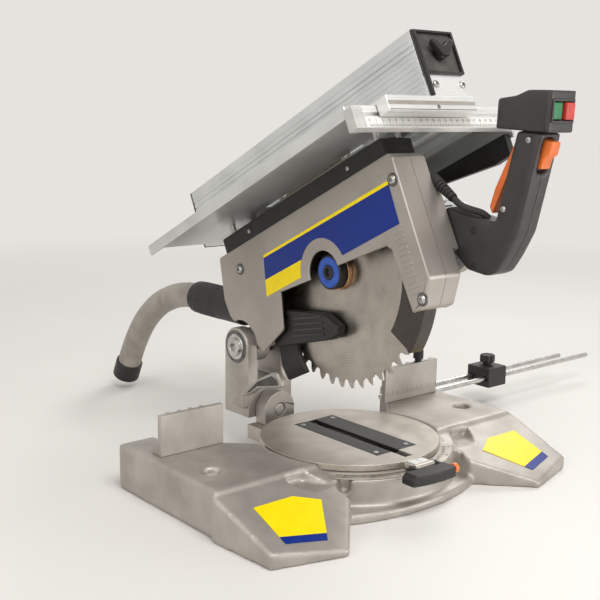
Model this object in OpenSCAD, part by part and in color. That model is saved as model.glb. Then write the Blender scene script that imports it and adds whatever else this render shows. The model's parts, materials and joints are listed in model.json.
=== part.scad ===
// Table mitre saw: a chop saw on a mitre turntable, with a small saw table carried on top of its arm.
// X runs right along the fence, Y runs back, Z runs up.
// The origin is on the bench, on the turntable's axis.
// The arm rests raised. Its pieces are drawn level, from the hinge, and then turned up.

/* [Blade] */
// Diameter over the tooth tips
blade_d = 300; // [284:1:304]
// Thickness of the blade's plate
blade_t = 2.2; // [1.6:0.1:3]
// Number of teeth
teeth = 48; // [24:1:60]
// Depth of a gullet
gullet = 11; // [8:1:16]
// Bore of the blade
bore_d = 30; // [25:1:32]

/* [Base] */
// Height of the table over the bench
table_h = 57; // [56:1:60]
// Half of the width over the wings
wing_end = 252; // [246:1:262]
// Distance of the wings' front from the turntable's axis
wing_front = 57; // [50:1:60]
// Distance of the wings' back from the turntable's axis
wing_back = 150; // [146:1:160]
// Wall of the castings
cast_wall = 6; // [4:0.5:7]
// Radius of the turntable
turntable_r = 115; // [112:0.5:115.5]
// Thickness of the turntable's plate
turntable_t = 8; // [7:0.5:9]
// Diameter of the turntable's pivot
turntable_pin_d = 24; // [18:1:30]
// Distance of the bench bolts from the middle
bench_x = 216; // [205:1:224]
// Diameter of the bench bolt holes
bench_d = 9; // [6:0.5:12]
// Distance of the fence face behind the turntable's axis
fence_y = 72; // [71:0.5:73]
// Height of the fences over the table
fence_h = 51; // [44:1:56]
// Inner end of the fences from the middle
fence_gap = 135; // [130:1:140]
// Outer end of the fences from the middle
fence_end = 242; // [236:1:248]

/* [Arm] */
// Distance of the arm's hinge behind the turntable's axis
pivot_y = 194; // [192:1:196]
// Height of the arm's hinge over the bench
pivot_z = 142; // [141:1:146]
// Angle that the arm is raised by
raise = 26; // [20:1:28]
// Diameter of the hinge pin
hinge_d = 16; // [12:1:18]
// Distance of the blade's axis in front of the hinge
hub_y = 208; // [206:1:210]
// Height of the blade's axis over the hinge
hub_z = 37.5; // [36:0.5:39]
// Height of the casing's top over the hinge
casing_top = 128; // [126:1:131]
// Space between the blade and the casing's nose
nose_gap = 18; // [17:1:22]
// Casing to the left of the blade
casing_left_x = 29; // [28:1:32]
// Casing to the right of the blade
casing_right_x = 26; // [26:1:29]
// Wall of the casing
casing_wall = 4; // [3:0.5:4.5]
// Diameter of the motor
motor_d = 100; // [92:1:104]
// Length of the motor's housing
motor_l = 96; // [90:1:110]

/* [Upper table] */
// Table's edge left of the blade
deck_left = 110; // [105:1:120]
// Table's edge right of the blade
deck_right = 165; // [160:1:180]
// Table's front edge in front of the hinge
deck_front = 405; // [402:1:412]
// Table's rear edge behind the hinge
deck_rear = 40; // [20:1:60]
// Underside of the table over the hinge
deck_z = 154.5; // [154.5:0.5:158]
// Depth of the table's edge
deck_h = 14.5; // [12:0.5:17]
// Thickness of the table's top
deck_top_t = 5; // [4:0.5:6]
// Diameter of the table's columns
column_d = 8; // [6:0.5:8.5]

/* [Rip fence] */
// Distance of the rip fence's face from the blade
rip_x = 8; // [6:1:14]
// Width of the rip fence
rip_w = 64; // [58:1:70]
// Height of the rip fence
rip_h = 87; // [80:1:95]
// Length of the rip fence
rip_l = 496; // [450:2:520]

/* [Handle] */
// Distance of the handle's left side from the blade
handle_x = 36; // [34:1:40]
// Width of the grip
grip_w = 36; // [32:1:40]
// Width of the switch box
box_w = 44; // [42:1:50]

/* [Side rods] */
// Diameter of the rods
rod_d = 8; // [6:0.5:10]
// Length of the front rod
rod_l = 488; // [440:2:520]
// Distance between the rods
rod_gap = 26; // [24:1:28]
// Sideways place of the stop block's middle
stop_x = 417; // [380:1:460]

/* [Dust hose] */
// Outer diameter of the hose
hose_d = 38; // [34:1:40]
// Outer diameter of the hose cuffs
cuff_d = 48; // [46:1:49]

/* [Fits] */
// Radial clearance of a running fit
run = 0.05; // [0.02:0.01:0.1]
// Clearance between pieces that move past each other
gap = 0.4; // [0.3:0.1:0.6]

/* [Hidden] */
$fn = 48;
eps = 1;
far = 1000;

// Base
turntable_z = table_h - turntable_t;
well_r = turntable_r + 1.5;
seat_in = well_r - 12.5;
seat_h = turntable_z - gap;
front_wall_in = 119;
front_wall_out = 132;
front_wall_h = table_h - 12;
scale_in = well_r + eps + gap;
scale_out = 131;
scale_t = 1.5;
scale_half = 50;
apron_h = 12;
apron_r = 271;
apron_y = 131;
centre_boss_r = turntable_pin_d / 2 + 18;
centre_boss_h = 14;
spoke_h = 12;
sweep_in = 139;
sweep_out = 168;
sweep_z = table_h - 17;
foot_tan = 0.373;
foot_y = 87;
foot_z = table_h - 15;
label_t = 0.6;
bench_boss_d = 30;
bench_head_d = 22;
bench_head_z = table_h - 12;
wing_step_x = 200;
wing_step_y = 94;
wing_slant = 67;
fence_top = table_h + fence_h;
fence_t = 8;
fence_left_gap = fence_gap + 12;
fence_back = wing_step_y - 1;
fence_foot_x = 163;
fence_rib = 5;
stop_pin_x = 205;
stop_pin_d = 5;
rod_y = 108;
rod_z = table_h - 13;
rod_x0 = 186;
rod_rib_x = 222;
rod_rib_t = 8;
rear_rod_l = rod_l - 44;

// Turntable
drum_out = 88;
drum_in = 80;
arm_z0 = 18;
arm_z1 = 38;
arm_half = 40;
bar_z0 = centre_boss_h + gap;
bar_z1 = 26;
bar_half = 16;
insert_l = 28;
insert_r = 40;
insert_front = 80;
insert_back = 78;
insert_t = 4;
insert_lip = 4;
kerf_l = 4;
kerf_r = 8;
kerf_front = 104;
bridge_half = 16;
bridge_end = 126;
bridge_z0 = turntable_z;
bridge_z1 = bridge_z0 + 6;
lever_left = 44;
lever_right = 24;
lever_end = 163;
lever_back = 142;
lever_z0 = sweep_z + 2;
lever_z1 = table_h - 2;
lever_slope = 5;
lever_pin_d = 5;
lever_pin_at = [-bridge_end - 5, (bridge_z0 + bridge_z1) / 2];
detent_at = [-152, lever_z0 + 7];
trunnion_y0 = 142;
trunnion_y1 = 164;
trunnion_r = 26;
tilt_d = 18;
tilt_z = table_h;

// Bevel bracket
cheek_in = 20;
cheek_out = 38;
boss_r = 27;
bracket_y0 = trunnion_y1 + gap;
bracket_y1 = pivot_y + boss_r;
bracket_z0 = table_h - 12;
bracket_z1 = table_h + 38;
horn_x0 = -cheek_out - 8;
horn_x1 = -cheek_out + 2;
lever_stud_d = 12;
bevel_rest = 30;

// Arm
blade_r = blade_d / 2;
hub = [-hub_y, hub_z];
nose_y = hub_y + blade_r + nose_gap;
hub_hole_r = 28;
label_ring_r = 44;
pivot_arc_r = 36;
hinge_half = cheek_in - gap;
hinge_r = 24;
flange_r = 30;
flange_t = 6.5;
cap_r = 22;
cap_t = 12;
spindle_d = 30;
guard_boss_r = 24;
guard_x0 = 10;
guard_t = 3;
guard_r = blade_r + 6;
guard_from = 33;
guard_side = 40;
guard_to = 70;
guard_left = 8;
column_x = 18;
column_front = nose_y - 24;
column_rear = 40;
column_bottom = casing_top - 54;
guide_h = 20;
guide_r = 7.5;
cover_h = 22;
cover_front = nose_y - 11;
cover_rear = 20;
cover_wall = 2.5;
slot_half = 9;
lever_pivot = [-84, 14];
lever_x0 = -20;
lever_x1 = -6;
lever_leg_x0 = -12;
guard_pin_d = 8;
screw_d = 5;
screw_head_d = 11;
screw_places = [[-nose_y + 9, 97], [-nose_y + 19, -44], [-45, 98]];
gear_x1 = casing_right_x + 38;
motor_at = [-hub_y - 42, hub_z + 18.5];
motor_r = motor_d / 2;
gear_r = 30;
gear_w = 12;
gear_room = 32;
pinion_r = norm(motor_at - hub) - gear_r - gap;
shaft_d = 17;
tail_d = 12;
spindle_tail_d = 20;
motor_x1 = gear_x1 + motor_l;
end_cap_l = 28;
motor_wall = 4;
pad_y0 = -nose_y;
pad_y1 = -nose_y + 36;
pad_z0 = 4;
pad_z1 = 98;

// Upper table
deck_top = deck_z + deck_h;
deck_web = deck_top - deck_top_t;
rib_w = 4;
rib_xs = [34, 58, 106, 130];
skirt_t = 4;
skirt_z = deck_z - 22.5;
deck_slot = 4;
deck_slot_half = sqrt(pow(blade_r, 2) - pow(deck_web - hub_z, 2)) + 23;
rail_t = 13;
rail_z0 = deck_z - 16.5;
rail_y = -deck_front - rail_t;
rail_left = deck_left + 2;
ruler_h = 11;
ruler_t = 0.8;
side_rail_t = 10;
rip_z0 = deck_top + gap;
rip_z1 = rip_z0 + rip_h;
rip_y0 = rail_y - 6;
rip_wall = 3;
rip_cap_t = 4;
rip_plate_h = 30;
slide_x0 = -75;
slide_x1 = 68;
slide_t = 18;
knob_stud_d = 8;
wing_knob_z = rip_z0 + 56;
wing_knob_x = rip_x + rip_w / 2;

// Handle, as points back and up from the hinge
grip_foot = [-434, 15];
grip_head = [-501, 96.5];
grip_turn = atan2(grip_head[1] - grip_foot[1], grip_head[0] - grip_foot[0]);
grip_l = norm(grip_head - grip_foot);
grip_front_top = [-531, 80];
grip_front_foot = [-460, -7];
grip_front_turn = atan2(grip_front_foot[1] - grip_front_top[1], grip_front_foot[0] - grip_front_top[0]);
handle_mid = handle_x + grip_w / 2;
box_at = [-478, 109];
box_turn = 28.55;
box_l = 71;
box_h = 45;
box_x0 = handle_mid - box_w / 2;
trigger_w = 18;
trigger_pin_d = 5;
latch_w = 16;
latch_from = 8;
latch_to = 40;
latch_deep = 7;
latch_travel = 5;
button_w = 15;
button_h = 18;
button_v = 14;
button_deep = 9;
button_travel = 3;
cable_d = 8;
gland_from = [casing_right_x + 5, pad_y0, 90];
gland_to = [casing_right_x + 5, -394, 60];
gland_d = 14;

// Stop on the side rods
stop_l = 44;
stop_z0 = 30;
stop_z1 = 62;
stop_stud_d = 8;

// Route of the hose behind the saw, back and up, from the cuff to its free end
hose_route = [
    [338, 187], [352, 187], [366, 186], [385, 183], [405, 178], [424, 171], [442, 163], [459, 153],
    [474, 142], [488, 130], [501, 117], [513, 102], [523, 88], [532, 74], [540, 60], [547, 46]
];
hose_sides = 12;
cuff_l = 120;
hose_end_l = 30;

// Route of the cable from the gland to the handle, right, back and up from the hinge
cable_route = [
    gland_to, gland_to + 0.25 * (gland_to - gland_from), [33.5, -403, 46], [38, -409, 40],
    [43, -413.5, 35.5], [46, -416, 32]
];
cable_sides = 8;

// Return spring, wound round the hinge pin
spring_turns = 4;
spring_wire = 2.4;
spring_r = hinge_d / 2 + 5;
spring_pitch = 3.2;
spring_x = hinge_half - spring_turns * spring_pitch - spring_wire;
spring_rings = 8;

function turned(v, a) = [v[0] * cos(a) - v[1] * sin(a), v[0] * sin(a) + v[1] * cos(a)];

function unit(v) = v / norm(v);

// Direction of a route at one of its points
function heading(pts, i) = unit(pts[min(i + 1, len(pts) - 1)] - pts[max(i - 1, 0)]);

function ring_points(at, dir, side, r, n) = [
    for (k = [0:n - 1]) at + r * (cos(360 * k / n) * side + sin(360 * k / n) * cross(dir, side))
];

// Closed tube along a route, with rings of n points
module tube(pts, r, n, guide) {
    count = len(pts);
    rings = [for (i = [0:count - 1])
        let (dir = heading(pts, i)) each ring_points(pts[i], dir, unit(cross(guide, dir)), r, n)];
    walls = [for (i = [0:count - 2], k = [0:n - 1], t = [0, 1])
        let (a = i * n + k, b = i * n + (k + 1) % n)
        t == 0 ? [a, a + n, b] : [b, a + n, b + n]];
    start = [for (k = [1:n - 2]) [0, k, k + 1]];
    end = [for (k = [1:n - 2]) (count - 1) * n * [1, 1, 1] + [0, k + 1, k]];
    polyhedron(rings, concat(walls, start, end), convexity = 10);
}

// Turns what is drawn level from the hinge up to the arm's resting place, and the other way
module in_arm() translate([0, pivot_y, pivot_z]) rotate([-raise, 0, 0]) children();
module out_of_arm() rotate([raise, 0, 0]) translate([0, -pivot_y, -pivot_z]) children();

// Extrudes a profile drawn back and up, between two sideways places
module slab(x0, x1) translate([x0, 0, 0]) rotate([90, 0, 90]) linear_extrude(x1 - x0) children();

// Extrudes a profile drawn right and up, from front to back
module run_back(y0, y1) translate([0, y1, 0]) rotate([90, 0, 0]) linear_extrude(y1 - y0) children();

// Round bars along X, Y and Z, and between two places
module bar_x(d, x0, x1, at) translate([x0, at[0], at[1]]) rotate([0, 90, 0]) cylinder(d = d, h = x1 - x0);
module bar_y(d, y0, y1, at) translate([at[0], y0, at[1]]) rotate([-90, 0, 0]) cylinder(d = d, h = y1 - y0);
module bar_z(d, z0, z1, at) translate([at[0], at[1], z0]) cylinder(d = d, h = z1 - z0);
module bar_to(d, p, q) translate(p)
    rotate([0, acos((q - p)[2] / norm(q - p)), atan2((q - p)[1], (q - p)[0])]) cylinder(d = d, h = norm(q - p));

module block(x0, x1, y0, y1, z0, z1) translate([x0, y0, z0]) cube([x1 - x0, y1 - y0, z1 - z0]);

module both_sides() {
    children();
    mirror([1, 0, 0]) children();
}

// Flat ring about the turntable's axis, whole or either side of the front
module ring(r0, r1, z0, z1) difference() {
    translate([0, 0, z0]) cylinder(r = r1, h = z1 - z0, $fn = 96);
    translate([0, 0, z0 - eps]) cylinder(r = r0, h = z1 - z0 + 2 * eps, $fn = 96);
}

module front_ring(r0, r1, z0, z1, half) intersection() {
    ring(r0, r1, z0, z1);
    translate([0, 0, z0]) linear_extrude(z1 - z0) polygon([
        [0, 0], [far * sin(half), -far * cos(half)], [0, -2 * far], [-far * sin(half), -far * cos(half)]
    ]);
}

// Base

module wing_plan(inset, hole_r) difference() {
    polygon([
        [seat_in / 2, -wing_front + inset], [wing_end - inset, -wing_front + inset],
        [wing_end - inset, wing_back - inset], [wing_step_x + inset, wing_back - inset],
        [wing_step_x + inset, wing_step_y - inset], [wing_step_y + wing_slant + 0.4 * inset, wing_step_y - inset],
        [seat_in / 2 + 1.4 * inset, seat_in / 2 - wing_slant]
    ]);
    circle(r = hole_r, $fn = 96);
}

module wing() difference() {
    linear_extrude(table_h) wing_plan(0, well_r);
    translate([0, 0, -eps]) linear_extrude(table_h - cast_wall + eps) wing_plan(cast_wall, well_r + cast_wall);
}

module foot_plan(inset) polygon([
    [wing_end + 5 - inset, -wing_front + eps], [wing_end - 2 - inset, -154 + inset], [163 + inset, -179 + 2 * inset],
    [103 + inset, -115 + inset], [100 + inset, -wing_front + eps]
]);

function foot_slope_z(y) = foot_z + foot_tan * (y + foot_y);

module foot_wedge(drop) slab(-far, far) polygon([
    [-wing_front + eps, -eps], [-wing_front + eps, foot_slope_z(-wing_front) - drop],
    [-180, foot_slope_z(-180) - drop], [-180, -eps]
]);

module foot() difference() {
    intersection() {
        linear_extrude(table_h) foot_plan(0);
        foot_wedge(0);
    }
    difference() {
        intersection() {
            translate([0, 0, -eps]) linear_extrude(table_h) foot_plan(cast_wall);
            foot_wedge(cast_wall);
        }
        ring(sweep_in - cast_wall, sweep_out + cast_wall, sweep_z - cast_wall, far);
    }
    ring(sweep_in, sweep_out, sweep_z, far);
    translate([0, 0, -eps]) cylinder(r = front_wall_in, h = far, $fn = 96);
}

module apron() intersection() {
    translate([0, apron_y, 0]) cylinder(r = apron_r, h = apron_h, $fn = 128);
    block(-104, 104, -200, 0, 0, apron_h);
    ring(seat_in, 200, 0, apron_h);
}

module bench_hole() {
    bar_z(bench_d, -eps, far, [0, 0]);
    bar_z(bench_head_d, bench_head_z, far, [0, 0]);
}

module wall_notch() translate([0, -front_wall_out + 7, 0]) {
    bar_y(14, -20, 2, [0, front_wall_h - 11]);
    block(-7, 7, -20, 2, front_wall_h - 11, front_wall_h + eps);
}

module base_casting() color("#a9a8a5") difference() {
    union() {
        both_sides() {
            wing();
            foot();
            bar_z(bench_boss_d, 0, table_h - eps, [bench_x, 0]);
        }
        apron();
        block(rod_rib_x, rod_rib_x + rod_rib_t, rod_y - 16, wing_back - eps, 0, table_h - eps);
        front_ring(front_wall_in, front_wall_out, 0, front_wall_h, 66);
        intersection() {
            ring(seat_in, well_r + eps, 0, seat_h);
            block(-far, far, -far, 20, 0, far);
        }
        cylinder(r = centre_boss_r, h = centre_boss_h);
        for (a = [0, 60, 120]) rotate([0, 0, a]) block(-seat_in - eps, seat_in + eps, -4, 4, 0, spoke_h);
        block(-well_r - eps, well_r + eps, 20, 34, 0, spoke_h);
    }
    bar_z(turntable_pin_d, -eps, far, [0, 0]);
    both_sides() translate([bench_x, 0, 0]) bench_hole();
    for (y = [rod_y, rod_y + rod_gap]) bar_x(rod_d + 2 * run, wing_step_x - 10, wing_end + eps, [y, rod_z]);
    for (a = [-45, 45]) rotate([0, 0, a]) wall_notch();
}

module fence(start, end) {
    block(start, end, fence_y, fence_y + fence_t, table_h, fence_top);
    block(fence_foot_x, end, fence_y + fence_t - eps, fence_back, table_h, table_h + 8);
    for (x = [fence_foot_x + 8:16:end - fence_rib]) slab(x, x + fence_rib) polygon([
        [fence_y + fence_t - eps, table_h], [fence_back, table_h], [fence_back, table_h + 24],
        [fence_y + fence_t + 4, fence_top], [fence_y + fence_t - eps, fence_top]
    ]);
}

module fence_left() color("#a9a8a5") mirror([1, 0, 0]) fence(fence_left_gap, fence_end - 4);

module fence_right() color("#a9a8a5") difference() {
    fence(fence_gap, fence_end);
    bar_z(stop_pin_d + 2 * run, fence_top - 16, fence_top + eps, [stop_pin_x, fence_y + fence_t / 2]);
}

module fence_stop_knob() color("#1c1c1e") translate([stop_pin_x, fence_y + fence_t / 2, fence_top]) {
    bar_z(stop_pin_d, -15, 4, [0, 0]);
    bar_z(10, gap, 6, [0, 0]);
    bar_z(15, 5, 18, [0, 0]);
}

module mitre_scale() color("#d8d8d4")
    front_ring(scale_in, scale_out, front_wall_h, front_wall_h + scale_t, scale_half);

module foot_labels() color("#ffdd00") both_sides() translate([0, -foot_y, foot_z]) rotate([atan(foot_tan), 0, 0])
    translate([0, foot_y, 0]) linear_extrude(label_t)
        polygon([[224, -150], [223, -89], [168, -89], [139, -106], [176, -163]]);

// Turntable

module turntable() color("#b4b2ae") difference() {
    union() {
        translate([0, 0, turntable_z]) cylinder(r = turntable_r, h = turntable_t, $fn = 96);
        ring(drum_in, drum_out, arm_z0, turntable_z + eps);
        block(-drum_in - 2, drum_in + 2, -bar_half, bar_half, bar_z0, bar_z1);
        bar_z(turntable_pin_d - 2 * run, 1, bar_z0 + eps, [0, 0]);
        block(-arm_half, arm_half, drum_in - 6, trunnion_y1, arm_z0, arm_z1);
        block(-bridge_half, bridge_half, lever_pin_at[0], -turntable_r + 4, bridge_z0, bridge_z1);
        bar_x(bridge_z1 - bridge_z0 + 2, -bridge_half, bridge_half, lever_pin_at);
    }
    block(-insert_l, insert_r, -insert_front, insert_back, table_h - insert_t, far);
    block(-insert_l + insert_lip, insert_r - insert_lip, -insert_front + insert_lip, insert_back - insert_lip,
        turntable_z - eps, far);
    block(-insert_l + insert_lip, insert_r - insert_lip, -drum_out - eps, 0, bar_z1, turntable_z);
    block(-kerf_l, kerf_r, -kerf_front, 0, turntable_z - eps, far);
    bar_x(lever_pin_d + 2 * run, -far, far, lever_pin_at);
}

module kerf_insert() color("#1b1b1d") difference() {
    block(-insert_l + 0.2, insert_r - 0.2, -insert_front + 0.2, insert_back - 0.2, table_h - insert_t, table_h);
    block(-kerf_l, kerf_r, -insert_front - eps, insert_back - 3, 0, far);
}

module mitre_pointer() color("#d9d6cc")
    block(-bridge_half + 4, bridge_half - 4, -bridge_end - 2, -turntable_r - 0.5, bridge_z1, bridge_z1 + 1.2);

module trunnion() color("#98968f") difference() {
    union() {
        bar_y(2 * trunnion_r, trunnion_y0, trunnion_y1, [0, tilt_z]);
        block(-trunnion_r, trunnion_r, trunnion_y0, trunnion_y1, arm_z1, tilt_z);
    }
    block(-far, far, 0, far, 0, arm_z1);
    bar_y(tilt_d + 2 * run, 0, far, [0, tilt_z]);
}

module mitre_lever() color("#1c1c1e") {
    bar_x(lever_pin_d, -bridge_half - 5, bridge_half + 5, lever_pin_at);
    both_sides()
        block(bridge_half + gap, bridge_half + 6, -lever_back - eps, lever_pin_at[0] + 5, bridge_z0, bridge_z1);
    difference() {
        intersection() {
            block(-lever_left, lever_right, -lever_end, -lever_back + 5, lever_z0, lever_z1);
            translate([0, 0, lever_z0]) cylinder(r = lever_end, h = far, $fn = 96);
        }
        cylinder(r = sweep_in + 2.5, h = far, $fn = 96);
        translate([-lever_left, 0, lever_z1]) rotate([0, 45, 0])
            cube([lever_slope * sqrt(2), far, lever_slope * sqrt(2)], center = true);
        bar_x(7, lever_right - 18, far, detent_at);
    }
}

module detent_button() color("#f07a1a") {
    bar_x(6, lever_right - 14, lever_right + 8, detent_at);
    bar_x(12, lever_right + gap + button_travel, lever_right + 10, detent_at);
}

// Bevel bracket

module horn_profile() polygon([
    [199, 60], [171, 84], [132, 111], [104, 125], [94, 127], [86, 118], [84, 108], [100, 104], [134, 96],
    [152, 84], [bracket_y0 + 0.5, 79], [bracket_y0 + 0.5, 60]
]);

module cheek_profile() {
    polygon([[bracket_y0, bracket_z1 - eps], [bracket_y1, bracket_z1 - eps], [bracket_y1, pivot_z],
        [pivot_y - boss_r, pivot_z]]);
    translate([pivot_y, pivot_z]) circle(r = boss_r);
}

module bevel_bracket() color("#a9a8a5") difference() {
    union() {
        block(-cheek_out, cheek_out, bracket_y0, bracket_y1, bracket_z0, bracket_z1);
        both_sides() slab(cheek_in, cheek_out) cheek_profile();
        slab(horn_x0, horn_x1) horn_profile();
        bar_y(tilt_d, trunnion_y0, bracket_y0 + eps, [0, tilt_z]);
        bar_y(lever_stud_d, bracket_y1 - eps, bracket_y1 + 17, [0, tilt_z]);
    }
    bar_x(hinge_d + 2 * run, -far, far, [pivot_y, pivot_z]);
}

module hinge_pin() color("#c9cacb") {
    bar_x(hinge_d, -cheek_out - 2, cheek_out + 2, [pivot_y, pivot_z]);
    bar_x(hinge_d + 10, -cheek_out - 8, -cheek_out, [pivot_y, pivot_z]);
    bar_x(hinge_d + 10, cheek_out, cheek_out + 6, [pivot_y, pivot_z]);
}

function spring_point(i) = [
    spring_x + spring_wire / 2 + spring_pitch * i / spring_rings,
    pivot_y + spring_r * cos(360 * i / spring_rings), pivot_z + spring_r * sin(360 * i / spring_rings)
];
spring_path = [for (i = [0:spring_turns * spring_rings]) spring_point(i)];
half_turn = spring_rings / 2;
spring_gap = min([for (i = [0:len(spring_path) - half_turn - 1], j = [i + half_turn:len(spring_path) - 1])
    norm(spring_path[i] - spring_path[j])]) - spring_wire;
echo(spring_least_gap = spring_gap);

module return_spring() color("#8f9194") tube(spring_path, spring_wire / 2, 6, [1, 0, 0]);

module bevel_lever() color("#1c1c1e") translate([0, bracket_y1 + gap, tilt_z]) rotate([0, -bevel_rest, 0])
    difference() {
        union() {
            bar_y(30, 0, 14, [0, 0]);
            block(0, 62, 3, 12, -8, 8);
            bar_y(20, 1, 13, [62, 0]);
        }
        bar_y(lever_stud_d + 2 * run, -far, far, [0, 0]);
    }

// Casing, drawn level from the hinge

module casing_outline() difference() {
    polygon([
        [-3, casing_top], [-nose_y + 4, casing_top], [-nose_y, casing_top - 5], [-nose_y, -25], [-nose_y + 14, -42],
        [-nose_y + 24, -54], [-nose_y + 40, -54], [-nose_y + 43, 24], [-nose_y + 50, 31],
        [-hub_y - 28, hub_z], [-hub_y + 28, hub_z],
        [-116, hub_z + 4.5], [-100, -6], [-46, -22], [6, 42], [8, 46], [11, 72], [4, 100]
    ]);
    circle(r = pivot_arc_r);
}

module casing_cavity() polygon([
    [-3 - casing_wall, casing_top - casing_wall], [-nose_y + casing_wall, casing_top - casing_wall],
    [-nose_y + casing_wall, -24], [-nose_y + 16 + casing_wall, -42 + casing_wall / 2],
    [-nose_y + 26, -54 + casing_wall], [-nose_y + 35, -54 + casing_wall], [-nose_y + 35, -100],
    [6 - casing_wall, -100], [8 - casing_wall, 46], [11 - casing_wall, 72],
    [4 - casing_wall, 100]
]);

module casing_shell(outer, inner) {
    slab(min(outer, inner), max(outer, inner)) casing_outline();
    slab(min(0, inner), max(0, inner)) difference() {
        casing_outline();
        casing_cavity();
    }
}

module column_guides(side) for (y = [-column_front, -column_rear])
    bar_z(2 * guide_r, casing_top - guide_h, casing_top, [side * column_x, y]);

module column_holes(d, side) for (y = [-column_front, -column_rear]) bar_z(d, 0, far, [side * column_x, y]);

module top_slot() block(-slot_half, slot_half, -nose_y + 14, -62, casing_top - casing_wall - eps, far);

module cuff_hole() out_of_arm()
    bar_y(cuff_d + gap, hose_route[0][0] - cuff_l - 20, hose_route[0][0], [0, hose_route[0][1]]);

module casing_left() color("#b3b0a8") in_arm() difference() {
    union() {
        casing_shell(-casing_left_x, -casing_left_x + casing_wall);
        column_guides(-1);
        bar_x(guard_pin_d, -casing_left_x + casing_wall - eps, lever_x1 + 2, lever_pivot);
    }
    bar_x(2 * hub_hole_r, -far, 0, hub);
    column_holes(column_d + 2 * run, -1);
    top_slot();
    cuff_hole();
    for (p = screw_places) bar_x(screw_d + 2 * run, -far, -casing_left_x + casing_wall + eps, p);
}

module casing_right() color("#b3b0a8") in_arm() difference() {
    union() {
        casing_shell(casing_right_x, casing_right_x - casing_wall);
        column_guides(1);
        slab(casing_right_x - casing_wall, casing_right_x) translate(hub) circle(r = 42);
        bar_x(2 * guard_boss_r, guard_x0 - gap, casing_right_x, hub);
        block(casing_right_x - eps, handle_x, pad_y0, pad_y1, pad_z0, pad_z1);
    }
    bar_x(spindle_d + 2 * run, 0, far, hub);
    column_holes(column_d + 2 * run, 1);
    top_slot();
    cuff_hole();
    bar_x(knob_stud_d + 2 * run, casing_right_x - casing_wall - eps, far, [-column_rear, casing_top - guide_h / 2]);
}

module casing_screws() color("#d5d6d6") in_arm() for (p = screw_places) {
    bar_x(screw_d, -casing_left_x - eps, -casing_left_x + casing_wall, p);
    bar_x(screw_head_d, -casing_left_x - 2.5, -casing_left_x, p);
}

module casing_label() color("#0b3f97") in_arm() slab(-casing_left_x - label_t, -casing_left_x) difference() {
    polygon([[-nose_y + 17, 99], [-nose_y + 19, 47], [-252, 46], [-165, 46], [-86, 45], [-103, 98]]);
    translate(hub) circle(r = label_ring_r);
}

module blade_cover() color("#1c1c1e") in_arm() difference() {
    block(-casing_left_x + 2, casing_right_x - 1, -cover_front, -cover_rear, casing_top, casing_top + cover_h);
    block(-casing_left_x + 2 + cover_wall, casing_right_x - 1 - cover_wall,
        -cover_front + 24, -cover_rear - 40, 0, far);
    block(-slot_half, slot_half, -cover_front + 3, -cover_rear - 40, 0, far);
    column_holes(column_d + 2 * gap, -1);
    column_holes(column_d + 2 * gap, 1);
}

module arm_block() color("#8d8b86") in_arm() difference() {
    union() {
        bar_x(2 * hinge_r, -hinge_half, spring_x - gap, [0, 0]);
        block(-hinge_half, spring_x - gap, -pivot_arc_r - eps, 0, -12, 20);
        block(-casing_left_x + casing_wall, casing_right_x - casing_wall, -54, -pivot_arc_r, -12, 66);
    }
    bar_x(hinge_d + 2 * run, -far, far, [0, 0]);
}

// Drive

module gear_shape(x0, x1, r_hub, r_motor) {
    bar_x(2 * r_hub, x0, x1, hub);
    bar_x(2 * r_motor, x0, x1, motor_at);
}

module gear_case() color("#8f8d88") in_arm() difference() {
    gear_shape(casing_right_x, gear_x1, gear_r + 9, motor_r);
    gear_shape(casing_right_x - eps, casing_right_x + gear_room, gear_r + 4, pinion_r + 4);
    bar_x(spindle_tail_d + 2 * run, 0, gear_x1 - 2, hub);
    bar_x(shaft_d + 2 * run, 0, far, motor_at);
}

module motor_housing() color("#232326") in_arm() difference() {
    bar_x(motor_d, gear_x1, motor_x1, motor_at);
    bar_x(motor_d - 2 * motor_wall, gear_x1 - eps, motor_x1 + eps, motor_at);
}

module motor_end_cap() color("#b3b0a8") in_arm() difference() {
    union() {
        bar_x(motor_d, motor_x1, motor_x1 + end_cap_l - 8, motor_at);
        bar_x(motor_d - 16, motor_x1, motor_x1 + end_cap_l, motor_at);
    }
    bar_x(motor_d - 24, motor_x1 - eps, motor_x1 + end_cap_l - 14, motor_at);
    bar_x(tail_d + 2 * run, motor_x1, motor_x1 + end_cap_l - 4, motor_at);
}

module motor_stator() color("#6f6c66") in_arm() difference() {
    bar_x(motor_d - 2 * motor_wall - 0.6, gear_x1 + 14, motor_x1 - 24, motor_at);
    bar_x(motor_d - 44, gear_x1, motor_x1, motor_at);
}

module motor_rotor() color("#8a6a4a") in_arm() {
    bar_x(2 * pinion_r, casing_right_x + 6, casing_right_x + 6 + gear_w, motor_at);
    bar_x(shaft_d, casing_right_x + 5, motor_x1 - 2, motor_at);
    bar_x(motor_d - 46, gear_x1 + 16, motor_x1 - 26, motor_at);
    bar_x(motor_d - 2 * motor_wall - 6, motor_x1 - 18, motor_x1 - 8, motor_at);
    bar_x(tail_d, motor_x1 - 3, motor_x1 + end_cap_l - 5, motor_at);
}

module spindle() color("#b9bbbd") in_arm() {
    bar_x(bore_d - 2 * run, -blade_t / 2 - flange_t, blade_t / 2 + flange_t + eps, hub);
    bar_x(spindle_d, blade_t / 2 + flange_t, casing_right_x + 5, hub);
    bar_x(spindle_tail_d, casing_right_x + 4, gear_x1 - 3, hub);
    bar_x(2 * gear_r, casing_right_x + 6, casing_right_x + 6 + gear_w, hub);
}

// Points of one tooth: its tip, its back, the floor of the gullet and its face
function tooth(i) = let (a = 360 / teeth) [
    for (p = [[0, 0], [0.22, -0.28], [0.42, -1], [0.66, -1], [0.82, -0.8], [0.95, -0.02]])
        (blade_r + gullet * p[1]) * [cos(a * (i + p[0])), sin(a * (i + p[0]))]
];

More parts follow.
